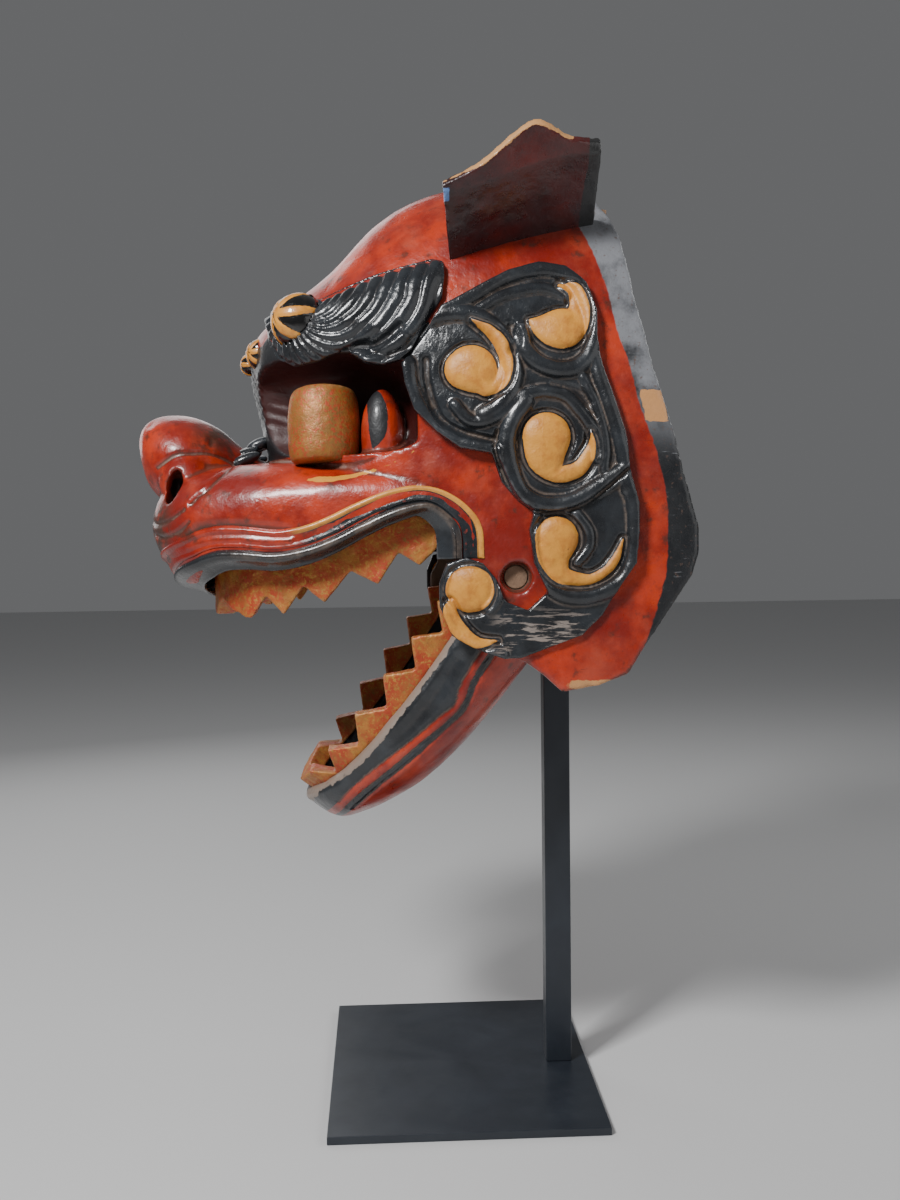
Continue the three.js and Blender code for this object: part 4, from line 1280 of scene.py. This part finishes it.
# Ropes: the points, half the width and the height
ROPES = (
    ([(-18.8, 573.5), (-2.2, 579.8), (12.4, 587.6), (28.2, 596.7), (44, 602), (60, 603), (71, 600),
      (79.5, 592), (84.4, 580.3), (87.7, 567.7), (88.8, 554), (85, 542.8), (77, 535.1), (65.9, 532.9), (54.9, 535.2),
      (46.3, 540.8), (40.4, 549.8), (39.6, 558.8)], 4.6, 5.6),
    ([(12, 574.9), (25.5, 582.8), (39, 587.3), (54.6, 589), (65.7, 586.1), (70, 583.5)], 3.0, 3.6),
    ([(-30, 568), (-23.3, 569.1), (-12.3, 572.1), (0.9, 572.3), (14, 567), (23.6, 558.5), (29.9, 547),
      (33.5, 534.3), (33.9, 527.7), (30.4, 517.8), (24, 509), (14, 503)], 4.8, 5.2),
    ([(-5.7, 509.7), (1.8, 500.8), (10.5, 498.4), (22.5, 502.6), (32.5, 510.1), (41.3, 516), (54.5, 518.1),
      (67.7, 515.2), (77.4, 505.2), (83.8, 496.4), (88.1, 486.5), (89, 473.4)], 3.4, 4.2),
    ([(-38.2, 537.1), (-36.2, 521.6), (-29.8, 507.1), (-20.1, 494.7), (-6, 485.6), (10.3, 480.4), (22, 477)],
     5.6, 6.0),
    ([(80.1, 527.3), (87.4, 511.8), (92.6, 494.1), (94.6, 478.8), (93.3, 465.6)], 2.6, 3.0),
    ([(87, 548), (91, 530), (97, 510), (103, 490), (107, 470), (109, 452)], 4.0, 4.6),
    ([(41.3, 512), (33, 500), (28.5, 488), (29.5, 473.2), (35.7, 454.1), (45.7, 445.2), (58.3, 442.5),
      (73.5, 444.8), (88.8, 453.5), (100.3, 460.9), (109.2, 467.1)], 4.6, 5.2),
    ([(47, 440), (44.3, 432.5), (44, 416.1), (46.5, 400.8), (53.5, 390.5), (65.4, 382.5), (79.4, 381),
      (93.5, 384.6), (105.5, 391.5), (111.7, 402.5), (113.8, 415.2), (113.2, 440.5), (109.7, 456)], 4.4, 5.0),
    ([(74, 437), (82.3, 425.7), (83.5, 416.8), (79.6, 409.3), (74.5, 404.3)], 2.8, 3.2),
    ([(-14.5, 393), (-11.2, 401.4), (-1.4, 405.2), (10, 405), (18.4, 400.5), (22, 391), (20.5, 381),
      (15, 374)], 3.4, 3.2),
    ([(-14.5, 393), (-15.2, 376), (-8.5, 357.5), (7, 348), (24, 342.5)], 3.6, 3.4),
)
GROOVES = (
    ([(-24.9, 541.1), (-24.1, 524.5), (-16.8, 502.3), (-3.8, 492.2), (10, 488), (19.1, 486)], 4.2, 4.2),
    ([(22.2, 492.2), (20.2, 482.1), (23.2, 469.5), (29.4, 455.5), (38.1, 442.7), (50.7, 437.5), (65.8, 438),
      (81.1, 443.5), (96.4, 454.7), (109.2, 465.9)], 2.2, 4.5),
    ([(33, 545), (37, 553), (33, 563)], 5.0, 3.0),
    ([(60, 523), (75, 520), (84, 510)], 4.0, 1.6),
)
# Commas: y, z and half the width along each
COMMAS = (
    [(1, 533.7, 13.5), (7, 533.7, 15.5), (13, 525, 8), (16, 521, 5.5), (25, 525, 5), (28.5, 534, 4.7),
     (28.3, 542.5, 4.2), (24.8, 551, 4.2), (18.5, 558.5, 3), (11, 563.5, 1.5), (6.3, 566.5, 0.3)],
    [(46, 567, 1), (55, 562, 8), (67, 561, 13.6), (76, 566, 9), (79, 576, 6), (76, 586, 4.5), (67, 591, 1.5)],
    [(55, 488, 16), (54, 475, 12.5), (59, 463.5, 5.5), (68, 463, 5.5), (77, 467, 5), (82.5, 475, 4),
     (85, 483, 2), (84.5, 490, 0.3)],
    [(61, 420, 14.5), (59, 408, 10.5), (63, 397, 6.5), (72, 393.3, 4.7), (83, 392.5, 3.4), (93, 397.3, 3),
     (100.5, 406, 2.7), (105.5, 419, 0.4)],
    [(2.2, 386.5, 15.5), (3.4, 386.5, 15.5)],
    [(-11, 377, 2), (-11, 372, 4), (-8, 364, 5), (-1, 355.5, 4.8), (8, 350.5, 3.4), (21, 351.8, 0.4)],
)
# Dishes round the commas: y, z, the radius and the depth
DISHES = ((4.5, 533.7, 28, 5.0), (62, 562, 26, 4.5), (56, 484, 28, 4.5), (62, 417, 23, 4.5),
          (2.8, 386.5, 19.5, 3.5))
print("ropes, grooves and commas:", len(ROPES), len(GROOVES), len(COMMAS))

# %% The face of the panel
def mane_face(y, z):
    """The height of the panel's face at y, z, and how deep inside a comma the point is."""
    height = np.full(len(y), -FLOOR_DEPTH)
    for cy, cz, radius, depth in DISHES:
        height -= depth * (1 - ease(np.hypot(y - cy, z - cz), radius * 0.72, radius))
    for line, half, tall in ROPES:
        across = distance_to(line, y, z) / (half * 1.35)
        height = np.maximum(height, tall * np.sqrt(clamp(1 - across ** 2)) - FLOOR_DEPTH)
    for line, half, deep in GROOVES:
        height -= deep * bump(distance_to(line, y, z), half)
    gilt = np.full(len(y), -FAR)
    for comma in COMMAS:
        depth, half = inside_of(comma, y, z)
        dome = (1.5 + 0.24 * half) * np.sqrt(clamp(1 - (1 - clamp(depth / half)) ** 2.4)) - FLOOR_DEPTH - 1.2
        height = np.where(depth > 0, np.maximum(height, dome), height)
        height -= 2.5 * bump(np.abs(depth + 2.0), 2.2) * (depth < 0)
        gilt = np.maximum(gilt, depth)
    return np.maximum(height, -DEEPEST), gilt

# %% [markdown]
# A panel is cut from a thicker skull by its side outline. The same helper serves the curls and the brow.

# %% Raised panels
PANEL_SIDES, PANEL_STEP, PANEL_GRAIN = 160, 2.5, 1.0


def skin_normal(rows, y, z):
    """Which way the side of a skin faces at y, z."""
    step = 0.5
    dy = (reach(rows, y + step, z) - reach(rows, y - step, z)) / (2 * step)
    dz = (reach(rows, y, z + step) - reach(rows, y, z - step)) / (2 * step)
    dy, dz = np.clip(dy, -3, 3), np.clip(dz, -3, 3)
    length = np.sqrt(1 + dy ** 2 + dz ** 2)
    return np.stack([1 / length, -dy / length, -dz / length], 1)


def raised_panel(name, outline, face):
    """A panel that stands on the left side of the head."""
    panel = skin(name, CRANIUM, PANEL_SIDES, PANEL_STEP, grow=face)
    combine(panel, slab("outline", outline), "INTERSECT")
    combine(panel, block("left_side", (6, -260, 200), (260, 260, 800)), "INTERSECT")
    combine(panel, skin("under", CRANIUM, PANEL_SIDES, PANEL_STEP, grow=-4), "DIFFERENCE")
    even_out(panel, PANEL_GRAIN, 2)
    return panel

# %% The curls
def build_mane():
    mane = raised_panel("mane_curls_left_carved", MANE_EDGE, MANE_FACE)
    points = read_points(mane)
    x, y, z = points.T
    outer = ease(x - reach(CRANIUM, y, z), 1.0, 3.0)
    height, gilt = mane_face(y, z)
    height += 0.35 * wobble(points, 14, 3)
    write_points(mane, points + skin_normal(CRANIUM, y, z) * (height * outer)[:, None])
    smooth(mane, 1)
    mane.data.shade_smooth()
    points = read_points(mane)
    paint(mane, "gilt", gilt)
    paint(mane, "hollow", sag(mane, 8))
    paint(mane, "worn", ease(-points[:, 2], -378, -362) * ease(points[:, 1], 12, 30))
    return mane


hand_over_pair(build_mane(), BLACK_LACQUER, "black_lacquer", "mane_curls")

# %% [markdown]
# ## The brow
# The hair of the brow wraps round under the large ball and sweeps up and back from it. A strand is a
# spiral round the ball: the further out a point lies, the more its turn is set back, so points of
# one strand end up with the same number.

# %% The brow's hair
BROW_EDGE = [
    (-104, 594), (-97, 589), (-78, 596), (-54, 604), (-37, 608), (-18, 612), (-11, 610), (-11, 600),
    (-13, 585), (-27, 564), (-34, 549), (-42, 541), (-53, 538), (-65, 540), (-74, 546), (-78, 554),
    (-86, 549), (-100, 543), (-114, 541), (-127, 548), (-134, 560), (-138, 580), (-120, 596),
]
BROW_FACE = 10.0
BROW_TOP = [(-97, 589), (-78, 596), (-54, 604), (-37, 608), (-18, 612), (-11, 611)]
STRANDS = 24
SWEEP = 1.3  # degrees of turn for each millimetre away from the ball
# Balls: x, y, z, the radius, which way the pole points and the turn of the leaves
BALLS = {"outer": (86, -111, 573, 20, (0.45, -0.85, 0.25), 0.4),
         "inner": (36, -142, 557, 12, (0.55, -0.82, 0.10), 0.4),
         "middle": (0, -152, 554, 10, (0.0, -0.95, 0.2), 0.0)}
NOTCH = [(-79, 549), (-72, 553.5), (-60, 553.5), (-50, 558), (-42, 565)]
TUFT = [(-70, 546, 3), (-60, 543, 7), (-48, 547, 8), (-38, 556, 5)]
print("strands:", STRANDS)

# %% The brow
def build_brow():
    brow = raised_panel("brow_hair_left_carved", BROW_EDGE, BROW_FACE)
    points = read_points(brow)
    x, y, z = points.T
    top, lower = distance_to(BROW_TOP, y, z), distance_to(BROW_LOWER, y, z)
    ball_x, ball_y, ball_z, ball_radius, *_ = BALLS["outer"]
    away = np.hypot(y - ball_y, z - ball_z)
    turn = np.degrees(np.arctan2(z - ball_z, y - ball_y)) - SWEEP * (away - ball_radius)
    strand = turn / 360 * STRANDS + 0.22 * wobble(points, 24, 6)
    furrow = (0.5 + 0.5 * np.cos(strand * 2 * math.pi)) ** 3
    fine = (0.5 + 0.5 * np.cos(strand * 6 * math.pi + 1.0)) ** 3
    crown = np.sqrt(clamp(np.minimum(lower, top + 2) / 15))
    height = -7.0 + 7.5 * crown - 2.4 * furrow - 0.5 * fine
    height -= 5.5 * bump(distance_to(NOTCH, y, z), 4.0)
    height += 2.2 * ease(inside_of(TUFT, y, z)[0], 0, 4)
    outer = ease(x - reach(CRANIUM, y, z), 1.5, 4.0)
    write_points(brow, points + skin_normal(CRANIUM, y, z) * (height * outer)[:, None])
    cup = egg("cup", (ball_x, ball_y, ball_z), (ball_radius + 0.4,) * 3, segments=64)
    combine(brow, cup, "DIFFERENCE")
    even_out(brow, PANEL_GRAIN, 1)
    paint(brow, "hollow", sag(brow, 6))
    paint(brow, "gilt", -FAR)
    paint(brow, "worn", 0)
    return brow


hand_over_pair(build_brow(), BLACK_LACQUER, "black_lacquer", "brow_hair")

# %% [markdown]
# The balls are glossy black, and gilt leaves spread from a pole at the front of each. A leaf is
# widest a third of the way along, and its edge stands up a little. The leaves are worked out from
# the angle round the pole and the angle away from it.

# %% The brow's balls
LEAVES, LEAF_REACH = 6, 2.15


def build_ball(name, x, y, z, radius, pole, turn):
    bm = bmesh.new()
    bmesh.ops.create_icosphere(bm, subdivisions=5, radius=1)
    ball = object_from(name, bm)
    way = read_points(ball) * MM
    pole = np.array(pole, float) / np.linalg.norm(pole)
    across = np.cross(pole, (0, 0, 1))
    across /= np.linalg.norm(across)
    above = np.cross(across, pole)
    away = np.arccos(clamp(way @ pole, -1, 1))
    round_pole = np.arctan2(way @ above, way @ across) + turn
    sector = 2 * math.pi / LEAVES
    leaf = np.abs((round_pole + 0.28 * away) % sector - sector / 2)
    width = 0.19 * np.sin(clamp((away / LEAF_REACH) ** 0.7) * math.pi)
    depth = np.where(away < LEAF_REACH, (width - leaf * np.sin(away)) * radius, -2.0)
    lift = 0.02 * radius * ease(depth, 0, 0.9) - 0.03 * radius * bump(np.abs(depth + 0.5), 0.9)
    write_points(ball, np.array((x, y, z)) + way * (radius - 0.4 + lift)[:, None])
    ball.data.shade_smooth()
    vein = leaf * np.sin(away) * radius
    paint(ball, "gilt", np.where(vein < 0.3, -0.2, depth))
    paint(ball, "hollow", sag(ball, 4))
    return ball


for which, ball in BALLS.items():
    if which == "middle":
        made = build_ball("ball_middle", *ball)
        hand_over(made, BALL_LACQUER, "head_on_stand", "ball_lacquer", "brow_ball_middle")
    else:
        made = build_ball(f"ball_{which}_left", *ball)
        hand_over_pair(made, BALL_LACQUER, "ball_lacquer", f"brow_ball_{which}")

# %% [markdown]
# ## The eyes
# An eye is a barrel that stands on end in its socket. It is turned on a lathe in the real one, and
# here a profile is spun round its axis, leaned outwards and set in place.

# %% Eyes
EYE = {"x": 86, "y": -95, "z": 500, "radius": 24.5, "half": 27, "lean": 8}


def build_eye():
    radius, half = EYE["radius"], EYE["half"]
    profile = curve_through([(0.02, -half), (radius * 0.5, -half), (radius * 0.82, -half + 0.6),
                             (radius * 0.96, -half + 4), (radius * 1.01, -half + 12), (radius * 1.03, 0),
                             (radius, half - 12), (radius * 0.9, half - 4), (radius * 0.75, half - 1),
                             (radius * 0.4, half), (0.02, half)], 1.2)
    bm = bmesh.new()
    corners = [bm.verts.new((out * MM, 0, up * MM)) for out, up in profile]
    edges = [bm.edges.new(pair) for pair in zip(corners, corners[1:])]
    bmesh.ops.spin(bm, geom=corners + edges, cent=(0, 0, 0), axis=(0, 0, 1), dvec=(0, 0, 0),
                   angle=2 * math.pi, steps=96, use_merge=True, use_duplicate=False)
    bmesh.ops.remove_doubles(bm, verts=bm.verts, dist=0.05 * MM)
    bmesh.ops.recalc_face_normals(bm, faces=bm.faces)
    bmesh.ops.rotate(bm, matrix=Matrix.Rotation(math.radians(-EYE["lean"]), 3, "Y"), verts=bm.verts)
    bmesh.ops.translate(bm, vec=Vector((EYE["x"], EYE["y"], EYE["z"])) * MM, verts=bm.verts)
    eye = object_from("eye_left_turned", bm)
    points = read_points(eye)
    write_points(eye, points + read_normals(eye) * (0.35 * wobble(points, 12, 8))[:, None])
    eye.data.shade_smooth()
    paint(eye, "hollow", sag(eye, 5))
    return eye


hand_over_pair(build_eye(), SHADED_EYE_GILDING, "gilding", "eye")

# %% [markdown]
# ## The ears
# An ear is a thin board that leans out from the top of the head and turns up along its edge. Its
# table has a row from front to back: the root on the head, the crease and the edge.

# %% Ears
EAR = table(
    "y rootY rootZ creaseY creaseZ edgeY edgeZ edgeX",
    (0, -3, 612, -12, 648, -13, 652, 151),
    (1, 18, 619, 14, 654, 12, 664, 154),
    (2, 45, 627, 43, 665, 46, 689, 158),
    (3, 72, 636, 70, 672, 71, 681, 154),
    (4, 97, 644, 92, 674, 92, 680, 150),
)
EAR_CREASE_X, EAR_THICK, EAR_LEAN = 149, 6, 41
EAR_CREASE_AT, EAR_SINK, EAR_SINK_DOWN = 0.7, 26, 21
EAR_TOP = [(-14, 652), (12, 664), (28, 677), (46, 689), (60, 686), (71, 681)]


def build_ear():
    bm = bmesh.new()
    bmesh.ops.create_grid(bm, x_segments=80, y_segments=60, size=0.5 * MM)
    doubled = bmesh.ops.extrude_face_region(bm, geom=bm.faces[:])
    top = [part for part in doubled["geom"] if isinstance(part, bmesh.types.BMVert)]
    bmesh.ops.translate(bm, vec=(0, 0, MM), verts=top)
    ear = object_from("ear_left_carved", bm)
    flat = read_points(ear)
    along, up, face = (flat[:, 0] + 0.5) * 4, flat[:, 1] + 0.5, (flat[:, 2] - 0.5) * EAR_THICK
    row = {key: column(EAR, key, along) for key in EAR}
    low = clamp(up / EAR_CREASE_AT)
    high = clamp((up - EAR_CREASE_AT) / (1 - EAR_CREASE_AT))
    root_x = reach(CRANIUM, row["rootY"], row["rootZ"]) - EAR_SINK

    def bend(root, crease, edge):
        return root + (crease - root) * low + high * (edge - crease)

    lean = math.radians(EAR_LEAN)
    points = np.stack([
        bend(root_x, EAR_CREASE_X, row["edgeX"]) - face * math.sin(lean),
        bend(row["rootY"], row["creaseY"], row["edgeY"]),
        bend(row["rootZ"] - EAR_SINK_DOWN, row["creaseZ"], row["edgeZ"]) + face * math.cos(lean)], 1)
    write_points(ear, points)
    turn_out(ear)
    even_out(ear, 1.2, 2)
    points = read_points(ear)
    points += read_normals(ear) * (0.4 * wobble(points, 18, 9) + 0.12 * wobble(points, 5, 10))[:, None]
    write_points(ear, points)
    x, y, z = points.T
    paint(ear, "hollow", sag(ear, 6))
    paint(ear, "worn", 2.6 - distance_to(EAR_TOP, y, z) - 2.4 * ease(-y, -18, 6))
    paint(ear, "dark", np.maximum(5 - np.hypot(y - 90, (z - 678) / 1.2), y - 84))
    paint(ear, "corner", ease(y * 0.55 - z, -592, -578) * 0.9)
    paint(ear, "chip", np.minimum(3.0 - np.abs(y + 11), 3.5 - np.abs(z - 645)))
    return ear


hand_over_pair(build_ear(), EAR_LACQUER, "dark_red_lacquer", "ear")

# %% [markdown]
# ## Teeth
# The rows of teeth already have their shape in the frame: a saw edge on a bent wall. A copy of each
# is merged, given small even faces, rounded a little and roughened as by a chisel.

# %% Teeth
def build_teeth(name, seed):
    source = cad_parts[name]
    bm = bmesh.new()
    bm.from_mesh(source.data)
    bmesh.ops.transform(bm, matrix=source.matrix_world, verts=bm.verts)
    bmesh.ops.remove_doubles(bm, verts=bm.verts, dist=0.01 * MM)
    teeth = object_from(f"{name}_carved", bm)
    even_out(teeth, 1.2, 2)
    points = read_points(teeth)
    rough = 0.35 * wobble(points, 11, seed) + 0.15 * wobble(points, 4, seed + 1)
    write_points(teeth, points + read_normals(teeth) * rough[:, None])
    paint(teeth, "hollow", sag(teeth, 5))
    return teeth


hand_over(build_teeth("upper_teeth", 20), TOOTH_GILDING, "head_on_stand", "gilding", "upper_teeth")
hand_over(build_teeth("lower_teeth", 24), TOOTH_GILDING, "lower_jaw", "gilding", "lower_teeth")

# %% [markdown]
# ## The lower jaw
# The jaw is carved lying flat, with the hinge rod at its origin, and then turned open. Its side has
# a worn lip, a smooth black band that narrows to the front, a red stripe, two black lines and the
# red underside.

# %% Outline and lines of the jaw
JAW = table(
    "y w mid top bottom crown foot",
    (-225, 30, 8, 20, -3, 3, 2.2),
    (-220, 52, 4, 23, -13, 4, 2.2),
    (-208, 74, 0, 20, -21, 6, 2.3),
    (-188, 91, -4, 15, -32, 8, 2.4),
    (-158, 104, -6, 11, -44, 8, 2.6),
    (-115, 112, -8, 9, -51, 8, 2.8),
    (-65, 117, -8, 10, -53, 8, 3),
    (-15, 119, -8, 16, -54, 8, 3),
    (26, 119, -8, 24, -54, 8, 3),
)
JAW_OPEN = math.radians(53.35)
JAW_EDGE = [(-240, 60), (-240, -70), (-48, -70), (-34, -52), (8, -30), (20, -14), (24, 0), (20, 13), (10, 22),
            (-4, 24), (-30, 14), (-40, 60)]
JAW_WALL, TROUGH_ABOVE = 11, 40
LIP_LINE = [(-225, 19), (-205, 20), (-196, 17), (-184, 14), (-169, 11), (-149, 9), (-127, 8.5), (-100, 8.5),
            (-70, 9), (-30, 13)]
BAND_LINE = [(-205, 3), (-195, 3), (-186, 2), (-170, -1), (-150, -6), (-129, -11.5), (-109, -16),
             (-96, -19.5), (-84, -15), (-60, -12), (-20, -10)]
BLACK_LINE_UPPER = [(-205, -4), (-191, -5), (-175, -8), (-154, -12.7), (-133, -17), (-113, -22.4),
                    (-98, -24.8), (-87, -23.5), (-70, -19), (-20, -16)]
BLACK_LINE_LOWER = [(-203, -9), (-187.5, -10.5), (-171, -13), (-152, -17.7), (-132, -21.7), (-111, -26),
                    (-96, -28.5), (-85, -26), (-70, -22.5), (-20, -20)]
RUBBED_LIP = (0.24, 0.185, 0.15)
SCOOP_LINE = [(-190, 9), (-150, 2), (-110, -4), (-70, -2)]
print("jaw opened by", round(math.degrees(JAW_OPEN), 2), "degrees")

# %% The jaw
def build_jaw():
    jaw = skin("lower_jaw_carved", JAW)
    tall = dict(JAW, top=JAW["top"] + TROUGH_ABOVE)
    combine(jaw, slab("jaw_edge", JAW_EDGE), "INTERSECT")
    combine(jaw, skin("trough", tall, grow=-JAW_WALL, shift=JAW_WALL), "DIFFERENCE")
    combine(jaw, block("throat", (-105, -28, -70), (105, 52, 70)), "DIFFERENCE")
    combine(jaw, rod("rod_hole", HOLE_RADIUS, (-200, 200), 0, 0), "DIFFERENCE")
    even_out(jaw, 1.6, 3)
    points, normals = read_points(jaw), read_normals(jaw)
    x, y, z = points.T
    outside = np.where(reach(JAW, y, z) - np.abs(x) < 5, ease(-y, 20, 40), 0)
    lip_gap, band_gap, upper_gap, lower_gap, scoop = (
        distance_to(line, y, z)
        for line in (LIP_LINE, BAND_LINE, BLACK_LINE_UPPER, BLACK_LINE_LOWER, SCOOP_LINE))
    lift = 1.6 * bump(lip_gap, 4.5) - 1.4 * bump(band_gap, 1.8) - 1.5 * bump(upper_gap, 1.5)
    lift -= 1.5 * bump(lower_gap, 1.7) + 1.2 * bump(scoop, 9)
    lift = lift * outside + 0.35 * wobble(points, 22, 30) + 0.1 * wobble(points, 6, 31)
    points = points + normals * lift[:, None]
    write_points(jaw, points)
    paint(jaw, "hollow", sag(jaw, 5))
    below_band = beyond(BAND_LINE, y, z)
    between = np.minimum(beyond(BLACK_LINE_UPPER, y, z) + 0.8, 0.8 - beyond(BLACK_LINE_LOWER, y, z))
    shown = outside > 0.2
    paint(jaw, "dark", np.where(shown, np.maximum(-below_band, between), 3.0))
    paint(jaw, "lip", np.where(shown, 3.2 - lip_gap, -FAR))
    paint(jaw, "worn", 0)
    turn = np.array([[1, 0, 0], [0, math.cos(JAW_OPEN), -math.sin(JAW_OPEN)],
                     [0, math.sin(JAW_OPEN), math.cos(JAW_OPEN)]])
    write_points(jaw, points @ turn.T + (0, HINGE_Y, HINGE_Z))
    return jaw

# %% The jaw's lacquer
def jaw_lacquer():
    material, tree, place = begin_finish("jaw_lacquer")
    red, rough, height = red_layers(tree, place)
    black, _, _ = black_layers(tree, place, 0.05, 0.5)
    dark = painted(tree, place, attribute(tree, "dark"), 0.7, 6)
    colour = mix(tree, dark, red, black)
    lip_worn = painted(tree, place, attribute(tree, "lip"), 2.2, 7)
    lip_worn = times(tree, lip_worn, spots(tree, place, 10, 0.85, 0.1))
    colour = mix(tree, lip_worn, colour, RUBBED_LIP)
    rough = plus(tree, rough, times(tree, lip_worn, 0.2))
    return end_finish(material, tree, colour, rough, height, 0.7, coat=0.35, coat_roughness=0.16)


hand_over(build_jaw(), jaw_lacquer(), "lower_jaw", "red_lacquer", "lower_jaw")
hinge_rod = rod("hinge_rod_turned", 8, (-132, 132), HINGE_Y, HINGE_Z, bevel=0.8)
hand_over(hinge_rod, WOOD, "lower_jaw", "bare_wood", "hinge_rod")

# %% [markdown]
# ## The stand
# The stand is a steel plate with a square bar, painted satin black, and a block of wood that carries
# the head. Sheared and sawn steel has slightly eased edges, so each is a cube with a small bevel.

# %% Stand
def stand_piece(name, node, finish, slot, bevel):
    low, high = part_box(node)
    piece = block(name, Vector(low) / MM, Vector(high) / MM, bevel)
    points = read_points(piece)
    paint(piece, "chip", 1.6 - np.linalg.norm(points - (60, -100, 4), axis=1))
    hand_over(piece, finish, "head_on_stand", slot, node)


stand_piece("steel_plate", "base_plate", BLACK_STEEL, "black_steel", 0.6)
stand_piece("steel_post", "post", BLACK_STEEL, "black_steel", 0.9)
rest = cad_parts["head_rest"]
for slot in rest.material_slots:
    slot.material = WOOD
print("block of wood kept from the frame:", rest.name)

# %% [markdown]
# ## The floor
# The floor is a plain pale sheet that runs far out on every side.

# %% Floor
bm = bmesh.new()
bmesh.ops.create_grid(bm, x_segments=1, y_segments=1, size=6)
floor = object_from("floor", bm)
floor_paint = bpy.data.materials.new("floor_paint")
floor_paint.use_nodes = True
floor_paint.node_tree.nodes["Principled BSDF"].inputs["Base Color"].default_value = (0.62, 0.62, 0.62, 1)
floor_paint.node_tree.nodes["Principled BSDF"].inputs["Roughness"].default_value = 0.7
floor.data.materials.append(floor_paint)
print("floor:", floor.name)
